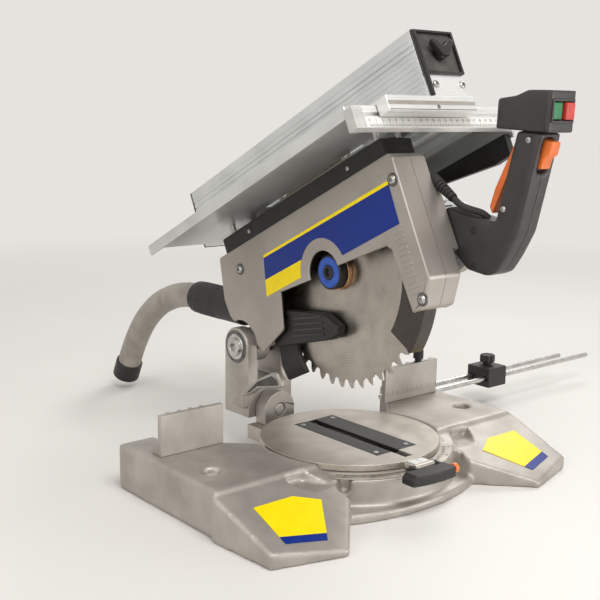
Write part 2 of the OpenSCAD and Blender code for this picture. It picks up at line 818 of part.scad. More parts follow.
module saw_blade() color("#c4c3be") in_arm() slab(-blade_t / 2, blade_t / 2) translate(hub) difference() {
    polygon([for (i = [0:teeth - 1]) each tooth(i)]);
    circle(d = bore_d);
}

module flange(r, x0) difference() {
    bar_x(2 * r, x0, x0 + flange_t, hub);
    bar_x(bore_d, -far, far, hub);
}

module arbor_flanges() color("#a88f70") in_arm() {
    flange(hub_hole_r - 4, -blade_t / 2 - flange_t);
    flange(flange_r, blade_t / 2);
}

module arbor_cap() color("#1d4fb0") in_arm() translate([-blade_t / 2 - flange_t, 0, 0]) difference() {
    bar_x(2 * cap_r, -cap_t, 0, hub);
    bar_x(14, -cap_t - eps, -4, hub);
}

// Point on an arc about the blade's axis, from below towards the front
function guard_point(r, a) = [-hub_y - r * sin(a), hub_z - r * cos(a)];

module guard_sector(r0, r1) difference() {
    intersection() {
        translate(hub) circle(r = r1, $fn = 96);
        polygon([hub, guard_point(2 * r1, guard_from), guard_point(2 * r1, guard_to)]);
    }
    translate(hub) circle(r = r0, $fn = 96);
}

module lower_guard() color("#2a2420") in_arm() difference() {
    union() {
        slab(guard_x0, guard_x0 + guard_t) {
            guard_sector(guard_boss_r + 2, guard_r);
            translate(hub) circle(r = guard_boss_r + 8);
        }
        slab(-guard_left, guard_x0 + guard_t) guard_sector(guard_r - 3, guard_r);
        slab(-guard_left, -guard_left + guard_t) guard_sector(guard_r - guard_side, guard_r);
    }
    bar_x(2 * (guard_boss_r + run), -far, far, hub);
}

module guard_lever() color("#1c1c1e") in_arm() difference() {
    union() {
        slab(lever_leg_x0, lever_x1)
            polygon([[-100, -20], [-99, -48], [-104, -68], [-60, -68], [-55, -48], [-62, -14]]);
        slab(lever_x0, lever_x1) {
            polygon([[-74, 26], [-97, 22], [-177, -8], [-196, -30], [-190, -40], [-175, -42], [-102, -28], [-62, -20],
                [-64, 0]]);
            translate(lever_pivot) circle(r = 14);
        }
    }
    bar_x(guard_pin_d + 2 * run, -far, far, lever_pivot);
}

// Upper table

module deck_profile() {
    translate([-deck_left, deck_web]) square([deck_left + deck_right, deck_top_t]);
    for (x = rib_xs) translate([x - rib_w / 2, deck_z]) square([rib_w, deck_h - eps]);
    translate([-deck_left, deck_z]) square([rib_w, deck_h]);
    translate([deck_right - skirt_t, skirt_z]) square([skirt_t, deck_top - skirt_z]);
}

module deck_plate() color("#c2bfb9") in_arm() difference() {
    run_back(-deck_front, deck_rear) deck_profile();
    block(-deck_slot, deck_slot, -hub_y - deck_slot_half, -hub_y + deck_slot_half, 0, far);
}

module deck_columns() color("#c9cacb") in_arm() for (s = [-1, 1], y = [-column_front, -column_rear])
    bar_z(column_d, column_bottom, deck_web, [s * column_x, y]);

module deck_rail() color("#c9c8c4") in_arm() difference() {
    block(-rail_left, deck_right, rail_y, -deck_front, rail_z0, deck_web);
    block(-rail_left - eps, deck_right + eps, rail_y - eps, rail_y + 4, rail_z0 + ruler_h + 3, rail_z0 + ruler_h + 7);
}

module deck_ruler() color("#ececea") in_arm()
    block(-rail_left + 14, deck_right - 2, rail_y - ruler_t, rail_y, rail_z0 + 0.5, rail_z0 + 0.5 + ruler_h);

module deck_side_rail() color("#161618") in_arm() slab(deck_right - skirt_t - side_rail_t, deck_right - skirt_t)
    polygon([
        [-deck_front + 5, skirt_z + 6], [-deck_front + 5, skirt_z - 22], [-deck_front + 33, skirt_z - 24],
        [-230, skirt_z - 6], [-130, skirt_z - 2], [-130, skirt_z + 6]
    ]);

module height_knob() color("#1c1c1e") in_arm() translate([casing_right_x, -column_rear, casing_top - guide_h / 2])
    rotate([0, 90, 0]) {
        bar_z(knob_stud_d, -casing_wall + 0.3, 8, [0, 0]);
        bar_z(16, gap, 8, [0, 0]);
        difference() {
            bar_z(36, 7, 20, [0, 0]);
            for (a = [0:60:300]) rotate(a) bar_z(9, 6, 21, [20, 0]);
        }
    }

// Rip fence

module rip_profile() difference() {
    translate([rip_x, rip_z0]) square([rip_w, rip_h]);
    translate([rip_x + rip_wall, rip_z0 + rip_wall]) square([rip_w - 2 * rip_wall, rip_h - 2 * rip_wall]);
    for (z = [60, 67]) translate([rip_x - eps, rip_z0 + z]) square([eps + 1, 2]);
    translate([wing_knob_x - 6, rip_z1 - rip_wall - eps]) square([12, 9]);
}

module rip_extrusion() color("#cfcdc8") in_arm() run_back(rip_y0, rip_y0 + rip_l) rip_profile();

module rip_caps() color("#1c1c1e") in_arm() {
    difference() {
        block(rip_x, rip_x + rip_w, rip_y0 - rip_cap_t, rip_y0, rip_z0 + rip_plate_h, rip_z1);
        bar_y(knob_stud_d + 2 * run, -far, far, [wing_knob_x, wing_knob_z]);
    }
    block(rip_x, rip_x + rip_w, rip_y0 + rip_l, rip_y0 + rip_l + rip_cap_t, rip_z0, rip_z1);
}

module rip_bracket() color("#d6d4cf") in_arm() {
    block(slide_x0, slide_x1, rail_y - slide_t, rail_y - ruler_t - gap, rail_z0 + ruler_h + 1, deck_web + gap + eps);
    block(slide_x0, slide_x1, rail_y - slide_t, -deck_front - gap, deck_web + gap, deck_web + gap + 4);
    block(rip_x + 2, rip_x + rip_w - 2, rip_y0 - rip_cap_t, rip_y0, deck_web + gap + 3, rip_z0 + rip_plate_h);
}

module rip_wing_knob() color("#1c1c1e") in_arm() translate([wing_knob_x, rip_y0 - rip_cap_t, wing_knob_z]) {
    bar_y(knob_stud_d, -9, rip_cap_t + 6, [0, 0]);
    bar_y(18, -9, -gap, [0, 0]);
    run_back(-14, -5) polygon([[-6, -7], [6, -7], [18, 10], [13, 15], [0, 5], [-13, 15], [-18, 10]]);
}

// Handle

module handle_outline() polygon([
    [pad_y1 - 5, 50], [-nose_y, 57], [-402, 37], grip_foot, grip_head, grip_front_top, grip_front_foot, [-434, -26],
    [-413, -38], [-399, -37], [-375, -21], [-363, pad_z0], [pad_y1 - 5, 10]
]);

// Draws along the back of the grip: up the grip from its foot, and out behind it
module on_grip() translate(grip_foot) rotate(grip_turn) mirror([0, 1]) children();

// Draws along the front of the grip: down it from its top, and out before it
module on_grip_front() translate(grip_front_top) rotate(grip_front_turn) mirror([0, 1]) children();

// Draws on the switch box: forward along its underside, and up
module on_box() translate(box_at) rotate(box_turn) mirror([1, 0]) children();

trigger_pin_at = grip_foot + turned([grip_l - 6, 4], grip_turn);

module trigger_room() on_grip()
    polygon([[40, -7], [grip_l - 14, -10], [grip_l - 1, -10], [grip_l - 1, 20], [40, 20]]);

module latch_room() on_grip_front() translate([latch_from - gap, -latch_deep - gap])
    square([latch_to - latch_from + latch_travel + 2 * gap, latch_deep + 20]);

module handle_half(x0, x1) difference() {
    slab(x0, x1) handle_outline();
    slab(handle_mid - trigger_w / 2 - gap, handle_mid + trigger_w / 2 + gap) trigger_room();
    slab(handle_mid - latch_w / 2 - gap, handle_mid + latch_w / 2 + gap) latch_room();
    bar_x(trigger_pin_d + 2 * run, handle_mid - trigger_w / 2 - 4, handle_mid + trigger_w / 2 + 4, trigger_pin_at);
}

module handle_left() color("#1a1a1c") in_arm() handle_half(handle_x, handle_mid);

module handle_right() color("#1a1a1c") in_arm() handle_half(handle_mid, handle_x + grip_w);

// Block on the front of the switch box, left or right of its middle
module button_block(side, grow, from, to) {
    mid = handle_mid + side * (button_w / 2 + 1.5);
    slab(mid - button_w / 2 - grow, mid + button_w / 2 + grow) on_box()
        translate([from, button_v - grow]) square([to - from, button_h + 2 * grow]);
}

module switch_box() color("#1a1a1c") in_arm() difference() {
    slab(box_x0, box_x0 + box_w) on_box()
        polygon([[0, 0], [box_l, 0], [box_l, box_h], [40, box_h - 1], [24, box_h - 8], [0, box_h - 12]]);
    for (side = [-1, 1]) button_block(side, gap, box_l - button_deep - button_travel - gap, box_l + eps);
}

module start_button() color("#2f9a4c") in_arm() button_block(-1, 0, box_l - button_deep, box_l + 1);

module stop_button() color("#d8352b") in_arm() button_block(1, 0, box_l - button_deep, box_l + 4);

module trigger() color("#f07a1a") in_arm() {
    slab(handle_mid - trigger_w / 2, handle_mid + trigger_w / 2) on_grip() polygon([
        [grip_l - 2, -8], [grip_l - 2, 2], [74, 9], [34, 17.5], [12, 19], [5, 13], [28, 9], [70, 1],
        [grip_l - 12, -8]
    ]);
    bar_x(trigger_pin_d, handle_mid - trigger_w / 2 - 3, handle_mid + trigger_w / 2 + 3, trigger_pin_at);
}

module lock_latch() color("#f07a1a") in_arm() slab(handle_mid - latch_w / 2, handle_mid + latch_w / 2) on_grip_front()
    polygon([[latch_from, -latch_deep], [latch_from, 9], [latch_from + 14, 9], [latch_from + 20, 4], [latch_to, 3],
        [latch_to, -latch_deep]]);

module cable_gland() color("#111113") in_arm() difference() {
    bar_to(gland_d, gland_from + 0.4 * (gland_from - gland_to), gland_to);
    block(-far, far, pad_y0, far, -far, far);
}

module handle_cable() color("#111113") in_arm() tube(cable_route, cable_d / 2, cable_sides, [1, 0, 0]);

// Dust hose

hose_path = [for (p = hose_route) [0, p[0], p[1]]];
hose_last = hose_path[len(hose_path) - 1];
hose_end_dir = heading(hose_path, len(hose_path) - 1);

module hose_cuff() color("#151517") difference() {
    bar_y(cuff_d, hose_route[0][0] - cuff_l, hose_route[0][0], [0, hose_route[0][1]]);
    bar_y(hose_d - 4, hose_route[0][0] - cuff_l - eps, hose_route[0][0] - 5, [0, hose_route[0][1]]);
}

module dust_hose() color("#9b9c9c") tube(hose_path, hose_d / 2, hose_sides, [1, 0, 0]);

module hose_end_cuff() color("#151517") difference() {
    bar_to(cuff_d - 4, hose_last, hose_last + hose_end_l * hose_end_dir);
    bar_to(hose_d - 4, hose_last + 4 * hose_end_dir, hose_last + 2 * hose_end_l * hose_end_dir);
}

// Side rods

module extension_rods() color("#c9cacb") {
    bar_x(rod_d, rod_x0, rod_x0 + rod_l, [rod_y, rod_z]);
    bar_x(rod_d, rod_x0, rod_x0 + rear_rod_l, [rod_y + rod_gap, rod_z]);
}

module stop_block() color("#161618") difference() {
    block(stop_x - stop_l / 2, stop_x + stop_l / 2, rod_y - 10, rod_y + rod_gap + 10, stop_z0, stop_z1);
    for (y = [rod_y, rod_y + rod_gap]) bar_x(rod_d + 2 * run, 0, far, [y, rod_z]);
    bar_z(stop_stud_d + 2 * run, rod_z + 8, far, [stop_x, rod_y + rod_gap / 2]);
}

module stop_knob() color("#161618") translate([stop_x, rod_y + rod_gap / 2, 0]) {
    bar_z(stop_stud_d, rod_z + 9, stop_z1 + 6, [0, 0]);
    bar_z(14, stop_z1 + gap, stop_z1 + 6, [0, 0]);
    bar_z(24, stop_z1 + 5, stop_z1 + 17, [0, 0]);
}

base_casting();
fence_left();
fence_right();
fence_stop_knob();
mitre_scale();
foot_labels();
turntable();
kerf_insert();
mitre_pointer();
trunnion();
mitre_lever();
detent_button();
bevel_bracket();
hinge_pin();
return_spring();
bevel_lever();
casing_left();
casing_right();
gear_case();
motor_housing();
motor_end_cap();
motor_stator();
blade_cover();
arm_block();
casing_label();
casing_screws();
handle_left();
handle_right();
switch_box();
handle_cable();
cable_gland();
hose_cuff();
dust_hose();
hose_end_cuff();
saw_blade();
arbor_flanges();
arbor_cap();
spindle();
motor_rotor();
lower_guard();
guard_lever();
deck_plate();
deck_rail();
deck_ruler();
deck_side_rail();
deck_columns();
height_knob();
rip_extrusion();
rip_caps();
rip_bracket();
rip_wing_knob();
trigger();
lock_latch();
start_button();
stop_button();
extension_rods();
stop_block();
stop_knob();
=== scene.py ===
"""Looks of the table mitre saw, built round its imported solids.

Blender works in metres. Sizes are written in millimetres and turned with MM. Pieces of the arm are drawn
level from the hinge, as the solids are, and then turned up by ARM.
"""
import json
import math

import bmesh
import bpy
from mathutils import Matrix, Vector


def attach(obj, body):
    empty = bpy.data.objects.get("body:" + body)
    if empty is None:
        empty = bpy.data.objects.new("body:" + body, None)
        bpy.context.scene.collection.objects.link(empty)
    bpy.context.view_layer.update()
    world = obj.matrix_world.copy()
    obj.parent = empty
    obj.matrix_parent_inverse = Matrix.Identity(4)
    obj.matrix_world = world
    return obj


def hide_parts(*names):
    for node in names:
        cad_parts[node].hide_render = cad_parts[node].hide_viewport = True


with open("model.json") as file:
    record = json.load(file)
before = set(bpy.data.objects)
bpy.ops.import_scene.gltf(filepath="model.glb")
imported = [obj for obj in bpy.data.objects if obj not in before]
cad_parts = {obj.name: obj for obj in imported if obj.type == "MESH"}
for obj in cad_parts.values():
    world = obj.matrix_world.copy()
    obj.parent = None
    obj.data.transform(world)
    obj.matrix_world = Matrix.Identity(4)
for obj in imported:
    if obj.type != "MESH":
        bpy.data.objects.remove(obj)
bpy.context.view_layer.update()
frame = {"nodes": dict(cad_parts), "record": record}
scene = bpy.context.scene
MM = 0.001

RAISE = math.radians(26)
HINGE = Vector((0, 194, 142)) * MM
ARM = Matrix.Translation(HINGE) @ Matrix.Rotation(-RAISE, 4, "X")
# Axes of the blade and the motor, back and up from the hinge
HUB = (-208, 37.5)
MOTOR = (-250, 56)
# Sideways places: the handle's seam and the outer faces of the hinge bracket's cheeks
HANDLE_MIDDLE = 54
CHEEK = 38
# Angle in degrees above which an edge of a turned piece stays sharp
CRISP = 35
NO_TURN = Matrix.Identity(4)
LEFT = Vector((-1, 0, 0))
RIGHT = Vector((1, 0, 0))
UP = Vector((0, 0, 1))

BODY_OF = {n: b for b, members in frame["record"]["behaviour"]["bodies"].items() for n in members}

# Camera of the photograph, fitted to the saw's own edges
camera = bpy.data.objects.new("camera", bpy.data.cameras.new("camera"))
camera.data.lens = 61.28
camera.data.sensor_width = 36
camera.data.clip_start = 0.05
camera_right = Vector((0.7666, -0.642, 0.0133))
camera_up = Vector((0.1078, 0.1491, 0.9829))
camera_back = Vector((-0.633, -0.7521, 0.1835))
camera.matrix_world = Matrix.LocRotScale(
    Vector((-0.86155, -0.92143, 0.46743)),
    Matrix((camera_right, camera_up, camera_back)).transposed().to_quaternion(), None)
scene.collection.objects.link(camera)
scene.camera = camera
scene.view_settings.view_transform = "Standard"


# Meshes


def on_arm(*place):
    """Point drawn level from the hinge, in millimetres, at the arm's resting place."""
    return ARM @ (Vector(place) * MM)


def piece(name, mesh, body, finish=None, replaced=()):
    """Finished piece of the saw, which rides on a body."""
    made = bpy.data.objects.new(name, mesh)
    scene.collection.objects.link(made)
    if finish:
        mesh.materials.clear()
        mesh.materials.append(finish)
    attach(made, body)
    if replaced:
        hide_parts(*replaced)
    return made


def shown_mesh(carrier):
    """Plain mesh of what an object shows; the object goes."""
    scene.collection.objects.link(carrier)
    mesh = bpy.data.meshes.new_from_object(carrier.evaluated_get(bpy.context.evaluated_depsgraph_get()))
    bpy.data.objects.remove(carrier)
    return mesh


def mesh_of(shape, name):
    """Mesh of a working shape, which is freed."""
    mesh = bpy.data.meshes.new(name)
    shape.to_mesh(mesh)
    shape.free()
    return mesh


def baked(mesh, *modifiers):
    """Plain mesh with modifiers applied: each one is its kind and its settings."""
    carrier = bpy.data.objects.new("carrier", mesh)
    for kind, settings in modifiers:
        modifier = carrier.modifiers.new(kind.lower(), kind)
        for name, value in settings.items():
            setattr(modifier, name, value)
    return shown_mesh(carrier)


def smoothed(mesh, sharp_deg=50):
    """Mesh with soft shading over its rounded edges and flat shading on its flats."""
    mesh.shade_smooth()
    mesh.set_sharp_from_angle(angle=math.radians(sharp_deg))
    return baked(mesh, ("WEIGHTED_NORMAL", {"keep_sharp": True, "weight": 60}))


def room_beside(edge):
    """How far a rounding may reach on either face of an edge."""
    along = (edge.verts[1].co - edge.verts[0].co).normalized()
    room = 1.0
    for face in edge.link_faces:
        across = [(v.co - edge.verts[0].co).cross(along).length for v in face.verts]
        room = min(room, 0.45 * max(across))
        for loop in face.loops:
            if loop.edge is edge or not set(loop.edge.verts) & set(edge.verts):
                continue
            beside = loop.edge.verts[1].co - loop.edge.verts[0].co
            reach = beside.cross(along).length
            if reach > 0.35 * beside.length:
                room = min(room, 0.45 * reach)
    return room


SEAM_MM = 0.35


def rounded(mesh, width_mm, hollow_edges=False, seam_x=None):
    """Copy of a solid's mesh with its edges rounded as far as each has room.

    A seam's edges stay sharp and draw back.
    """
    width = width_mm * MM
    shape = bmesh.new()
    shape.from_mesh(mesh)
    bmesh.ops.remove_doubles(shape, verts=shape.verts, dist=1e-5)
    bmesh.ops.dissolve_limit(shape, angle_limit=math.radians(1), verts=shape.verts, edges=shape.edges)
    weight = shape.edges.layers.float.new("bevel_weight_edge")
    on_seam = set()
    if seam_x is not None:
        on_seam = {v for v in shape.verts if abs(v.co.x - seam_x * MM) < 0.2 * MM}
    for edge in shape.edges:
        if len(edge.link_faces) != 2 or edge.calc_face_angle(0) < math.radians(30):
            continue
        if edge.is_convex or hollow_edges:
            edge[weight] = 0 if on_seam.issuperset(edge.verts) else min(1.0, room_beside(edge) / width)
    if on_seam:
        middle = sum(v.co.x for v in shape.verts) / len(shape.verts)
        for vert in on_seam:
            vert.co.x += math.copysign(SEAM_MM * MM, middle - seam_x * MM)
    steps = 3 if width_mm > 1.2 else 2
    return baked(mesh_of(shape, "rounded"), ("BEVEL", {
        "limit_method": "WEIGHT", "width": width, "segments": steps, "use_clamp_overlap": False,
        "offset_type": "OFFSET"}))


def soften(node, width_mm, finish, hollow_edges=False, seam_x=None):
    """Piece that stands for a solid, with the solid's edges rounded."""
    mesh = smoothed(rounded(frame["nodes"][node].data, width_mm, hollow_edges, seam_x))
    return piece(node + "_finished", mesh, BODY_OF[node], finish, [node])


def moulded(nodes, grid_mm, passes):
    """Skin round solids, with every corner filled and rounded as in a mould."""
    shape = bmesh.new()
    for node in nodes:
        shape.from_mesh(frame["nodes"][node].data)
    bmesh.ops.remove_doubles(shape, verts=shape.verts, dist=1e-5)
    mesh = baked(mesh_of(shape, "skin"), ("REMESH", {"mode": "VOXEL", "voxel_size": grid_mm * MM}),
                 ("SMOOTH", {"factor": 0.5, "iterations": passes}))
    mesh.shade_smooth()
    return mesh


def cast_skin(node, grid_mm, passes, finish):
    """Piece that stands for a solid, with its corners rounded as in a mould."""
    thinned = ("DECIMATE", {"decimate_type": "DISSOLVE", "angle_limit": math.radians(0.7)})
    mesh = baked(moulded([node], grid_mm, passes), thinned)
    return piece(node + "_finished", mesh, BODY_OF[node], finish, [node])


def split_skin(nodes, seam_x, grid_mm, passes, finish):
    """Two pieces for two halves that were moulded to one form, parted at a seam."""
    whole = moulded(nodes, grid_mm, passes)
    for node, side in zip(nodes, (-1, 1)):
        shape = bmesh.new()
        shape.from_mesh(whole)
        cut = bmesh.ops.bisect_plane(
            shape, geom=[*shape.verts, *shape.edges, *shape.faces],
            plane_co=((seam_x + side * SEAM_MM) * MM, 0, 0), plane_no=(side, 0, 0), clear_inner=True)
        rim = [e for e in cut["geom_cut"] if isinstance(e, bmesh.types.BMEdge)]
        bmesh.ops.holes_fill(shape, edges=rim)
        half = mesh_of(shape, "half")
        half.shade_smooth()
        half.set_sharp_from_angle(angle=math.radians(50))
        piece(node + "_finished", half, BODY_OF[node], finish, [node])


def dress(node, finish):
    """Gives a solid that stays its finish."""
    for slot in frame["nodes"][node].material_slots:
        slot.material = finish


def joined(meshes):
    """One mesh of several."""
    shape = bmesh.new()
    for mesh in meshes:
        shape.from_mesh(mesh)
    return mesh_of(shape, "joined")


def lofted(rings, closed_ends=True):
    """Mesh through rings of equally many points, with its ends filled."""
    shape = bmesh.new()
    rows = [[shape.verts.new(p) for p in ring] for ring in rings]
    for row, following in zip(rows, rows[1:]):
        for i in range(len(row)):
            j = (i + 1) % len(row)
            shape.faces.new((row[i], row[j], following[j], following[i]))
    if closed_ends:
        shape.faces.new(rows[0][::-1])
        shape.faces.new(rows[-1])
    bmesh.ops.recalc_face_normals(shape, faces=shape.faces)
    return mesh_of(shape, "lofted")


def hexagon_reach(angle):
    """Radius of a hexagon of unit reach across its flats' middles, at an angle."""
    step = math.pi / 3
    return 1 / math.cos((angle % step) - step / 2)


def turned(profile, sides=32, flutes=0, flute_deep=0.0, closed_ends=True):
    """Turned shape about Z: rows of radius, height and kind, round, hexagonal or fluted, in millimetres."""
    rings = []
    for radius, height, kind in profile:
        ring = []
        for i in range(sides):
            angle = 2 * math.pi * i / sides
            reach = radius
            if kind == "hex":
                reach = radius * hexagon_reach(angle)
            if kind == "fluted":
                reach = radius - flute_deep * (0.5 - 0.5 * math.cos(flutes * angle)) ** 2
            ring.append(Vector((reach * math.cos(angle), reach * math.sin(angle), height)) * MM)
        rings.append(ring)
    return lofted(rings, closed_ends)


def aimed(place, direction):
    """Matrix that puts a shape drawn up Z at a place, facing a direction."""
    return Matrix.Translation(place) @ direction.to_track_quat("Z", "Y").to_matrix().to_4x4()


def smooth_path(points, steps):
    """Points on one smooth curve through the given ones."""
    ends = [2 * points[0] - points[1], *points, 2 * points[-1] - points[-2]]
    path = []
    for a, b, c, d in zip(ends, ends[1:], ends[2:], ends[3:]):
        for i in range(steps):
            t = i / steps
            path.append(0.5 * (2 * b + (c - a) * t + (2 * a - 5 * b + 4 * c - d) * t * t
                               + (3 * b - a - 3 * c + d) * t ** 3))
    return path + [points[-1]]


def tube(path, radius, sides, guide):
    """Round tube along a path, with a map that runs along it in metres and once round it."""
    rings = []
    for i, at in enumerate(path):
        along = (path[min(i + 1, len(path) - 1)] - path[max(i - 1, 0)]).normalized()
        side = guide.cross(along).normalized()
        lift = along.cross(side)
        turns = [2 * math.pi * k / sides for k in range(sides)]
        rings.append([at + radius * (math.cos(t) * side + math.sin(t) * lift) for t in turns])
    mesh = lofted(rings)
    runs = [0.0]
    for a, b in zip(path, path[1:]):
        runs.append(runs[-1] + (b - a).length)
    chart = mesh.uv_layers.new(name="along")
    for polygon in mesh.polygons:
        columns = [mesh.loops[i].vertex_index % sides for i in polygon.loop_indices]
        wraps = max(columns) - min(columns) > sides / 2
        for i, column in zip(polygon.loop_indices, columns):
            turn = column + sides if wraps and column < sides / 2 else column
            chart.data[i].uv = (runs[mesh.loops[i].vertex_index // sides], turn / sides)
    mesh.shade_smooth()
    mesh.set_sharp_from_angle(angle=math.radians(50))
    return mesh


def outlined(points, x0, x1):
    """Plate of an outline drawn back and up, in millimetres, between two sideways places."""
    return lofted([[Vector((x, y, z)) * MM for y, z in points] for x in (x0, x1)])


# Dust hose: straight out of the cuff, then down behind the saw under its own weight

HOSE_D = 0.038
hose_points = [Vector((0, y, z)) * MM for y, z in (
    (338, 187), (352, 187), (366, 186), (385, 183), (405, 178), (424, 171), (442, 163), (459, 153),
    (474, 142), (488, 130), (501, 117), (513, 102), (523, 88), (532, 74), (540, 60), (547, 46))]
hose_path = smooth_path(hose_points, 4)
hose_mesh = tube(hose_path, HOSE_D / 2, 40, RIGHT)


# Materials


def linear(code):
    """Linear colour of an sRGB hex value."""
    parts = [int(code[i:i + 2], 16) / 255 for i in (1, 3, 5)]
    return (*(p / 12.92 if p <= 0.04045 else ((p + 0.055) / 1.055) ** 2.4 for p in parts), 1.0)


def add(tree, kind, given=None, **settings):
    """Adds a node with its settings; each given input is a value or another node's socket."""
    node = tree.nodes.new(kind)
    for name, value in settings.items():
        setattr(node, name, value)
    for key, value in (given or {}).items():
        if isinstance(value, bpy.types.NodeSocket):
            tree.links.new(value, node.inputs[key])
        else:
            node.inputs[key].default_value = value
    return node


def started(name, **sockets):
    """New material with constants on its shader's own sockets: the material, its tree and its shader."""
    made = bpy.data.materials.new(name)
    made.use_nodes = True
    shader = made.node_tree.nodes["Principled BSDF"]
    for key, value in sockets.items():
        socket = shader.inputs[key.replace("_", " ")]
        socket.default_value = linear(value) if isinstance(value, str) else value
    return made, made.node_tree, shader


def speckle(tree, size_mm, stretch=(1, 1, 1), turn=(0, 0, 0), detail=2.0):
    """Soft noise whose grains are about one size, on the piece's own coordinates."""
    place = add(tree, "ShaderNodeTexCoord")
    laid = add(tree, "ShaderNodeMapping", {"Vector": place.outputs["Object"], "Rotation": turn})
    drawn = add(tree, "ShaderNodeMapping", {"Vector": laid.outputs[0], "Scale": stretch})
    noise = add(tree, "ShaderNodeTexNoise", {
        "Vector": drawn.outputs[0], "Scale": 1 / (size_mm * MM), "Detail": detail})
    return noise.outputs["Fac"]


def toned(tree, factor, dark, light, low=0.3, high=0.7):
    """Colour between two tones by a factor."""
    spread = add(tree, "ShaderNodeMapRange", {"Value": factor, "From Min": low, "From Max": high})
    tones = add(tree, "ShaderNodeMix", {0: spread.outputs[0], 6: linear(dark), 7: linear(light)},
                data_type="RGBA")
    return tones.outputs[2]


def edge_wear(tree, radius_mm):
    """1 on edges and 0 on flats, from how far a rounded normal leans off the true one."""
    lean = add(tree, "ShaderNodeBevel", {"Radius": radius_mm * MM}, samples=4)
    true = add(tree, "ShaderNodeNewGeometry")
    dot = add(tree, "ShaderNodeVectorMath", {0: lean.outputs[0], 1: true.outputs["Normal"]},
              operation="DOT_PRODUCT")
    wear = add(tree, "ShaderNodeMapRange", {"Value": dot.outputs["Value"], "From Min": 0.99, "From Max": 0.8})
    return wear.outputs[0]


WORN_EDGE_MM = 1.2


def surfaced(name, tones, cloud_mm, rough, grain_mm, bump=0.0, bump_mm=0.1, stretch=(1, 1, 1), turn=(0, 0, 0),
             worn=None, **sockets):
    """Material with clouded tones, grained roughness, a grain bump and, if worn, bare edges."""
    made, tree, shader = started(name, **sockets)
    colour = toned(tree, speckle(tree, cloud_mm), *tones)
    grain = speckle(tree, grain_mm, stretch, turn, 3.0)
    if worn:
        bare = add(tree, "ShaderNodeMath", {0: edge_wear(tree, WORN_EDGE_MM), 1: grain}, operation="MULTIPLY")
        shown = add(tree, "ShaderNodeMix", {0: bare.outputs[0], 6: colour, 7: linear(worn)}, data_type="RGBA")
        colour = shown.outputs[2]
    tree.links.new(colour, shader.inputs["Base Color"])
    span = add(tree, "ShaderNodeMapRange", {
        "Value": grain, "From Min": 0.3, "From Max": 0.7, "To Min": rough[0], "To Max": rough[1]})
    tree.links.new(span.outputs[0], shader.inputs["Roughness"])
    if bump:
        relief = add(tree, "ShaderNodeBump", {"Strength": bump, "Distance": bump_mm * MM, "Height": grain})
        tree.links.new(relief.outputs[0], shader.inputs["Normal"])
    return made


# Sand-cast aluminium, blasted: a dull silver skin with the grain of the sand in it and bright worn edges. On
# the bar along the rip fence's slide, the same finish is the painted shade and reflection of its groove
CAST_AND_PAINTED_SHADE = surfaced("sand_cast_aluminium_and_painted_shade", ("#a39d96", "#b9b4ad"), 40, (0.4, 0.58), 1.6, 0.35, 0.25,
                worn="#d0ccc6", Metallic=0.7)
# Die-cast shell in silver paint: even, satin, with a very fine orange peel
PAINT = surfaced("silver_painted_die_casting", ("#a29b94", "#b0aaa3"), 60, (0.34, 0.46), 1.3, 0.22, 0.14,
                 worn="#cbc6c0", Metallic=0.65, Coat_Weight=0.15, Coat_Roughness=0.3)
# Extruded aluminium, satin anodised: long draw lines along the extrusion; they are drawn coarse to show
ALONG_ARM = (RAISE, 0, 0)
EXTRUDED = surfaced("extruded_anodised_aluminium", ("#cdcfce", "#dfe1e0"), 70, (0.28, 0.44), 1.6, 0.2, 0.08,
                    (1, 0.012, 1), ALONG_ARM, Metallic=0.7)
ACROSS = surfaced("extruded_rail_aluminium", ("#e2e2e0", "#efefed"), 50, (0.26, 0.4), 1.4, 0.15, 0.06,
                  (0.012, 1, 1), ALONG_ARM, Metallic=0.55)
# Turned and drawn steel: bright, with fine tool marks round it
STEEL = surfaced("turned_steel", ("#b9b7b4", "#d2d0cd"), 18, (0.18, 0.34), 0.9, 0.15, 0.03, (0.1, 1, 1),
                 Metallic=1.0)
# Turned flange beside the blade: warm and bright, tarnished in patches
BRONZE = surfaced("turned_bronze", ("#b98d68", "#d9b492"), 14, (0.2, 0.36), 0.9, 0.2, 0.03, (0.1, 1, 1),
                  Metallic=1.0)
# Zinc-plated screw steel: small, bright, slightly patchy
SCREW = surfaced("zinc_plated_steel", ("#a9a7a4", "#c9c7c3"), 4, (0.25, 0.45), 0.8, 0.1, 0.03, Metallic=1.0)
# Hard-drawn spring wire: dark and slightly oily. The same dark finish paints the shade in the slide's slot,
# in the casing screws' wells and in the well round the left hinge bolt
WIRE_AND_PAINTED_SHADE = surfaced("spring_wire", ("#5b5a59", "#7b7a78"), 5, (0.25, 0.4), 0.8, 0.1, 0.03, Metallic=1.0)
# Glass-filled nylon, moulded: deep grey-black with a fine spark-eroded grain and a soft sheen
NYLON = surfaced("moulded_black_nylon", ("#1a1918", "#242322"), 25, (0.42, 0.58), 0.9, 0.25, 0.1,
                 IOR=1.53, Specular_IOR_Level=0.45)
# The same where dust settles in a recess: greyer and matt. On the plate in the hinge bracket's horn, the same
# finish is painted shade
DUST_AND_PAINTED_SHADE = surfaced("dusty_black_nylon_and_painted_shade", ("#3b3936", "#55524d"), 16, (0.55, 0.7), 1.0, 0.2, 0.1, IOR=1.53)
# The same moulding, polished by hands: a little shinier
GRIP = surfaced("moulded_grip_plastic", ("#272524", "#353130"), 30, (0.34, 0.48), 1.0, 0.3, 0.12,
                IOR=1.53, Specular_IOR_Level=0.5)
# Soft PVC of the cable and its gland: matt, faintly dusty
RUBBER = surfaced("soft_black_pvc", ("#161515", "#222120"), 12, (0.55, 0.72), 1.0, 0.2, 0.08, IOR=1.52)
# Motor can: black-painted steel, satin
MOTOR_BLACK = surfaced("black_painted_can", ("#1d1d1e", "#2a2a2a"), 30, (0.3, 0.42), 1.2, 0.12, 0.06, IOR=1.5)
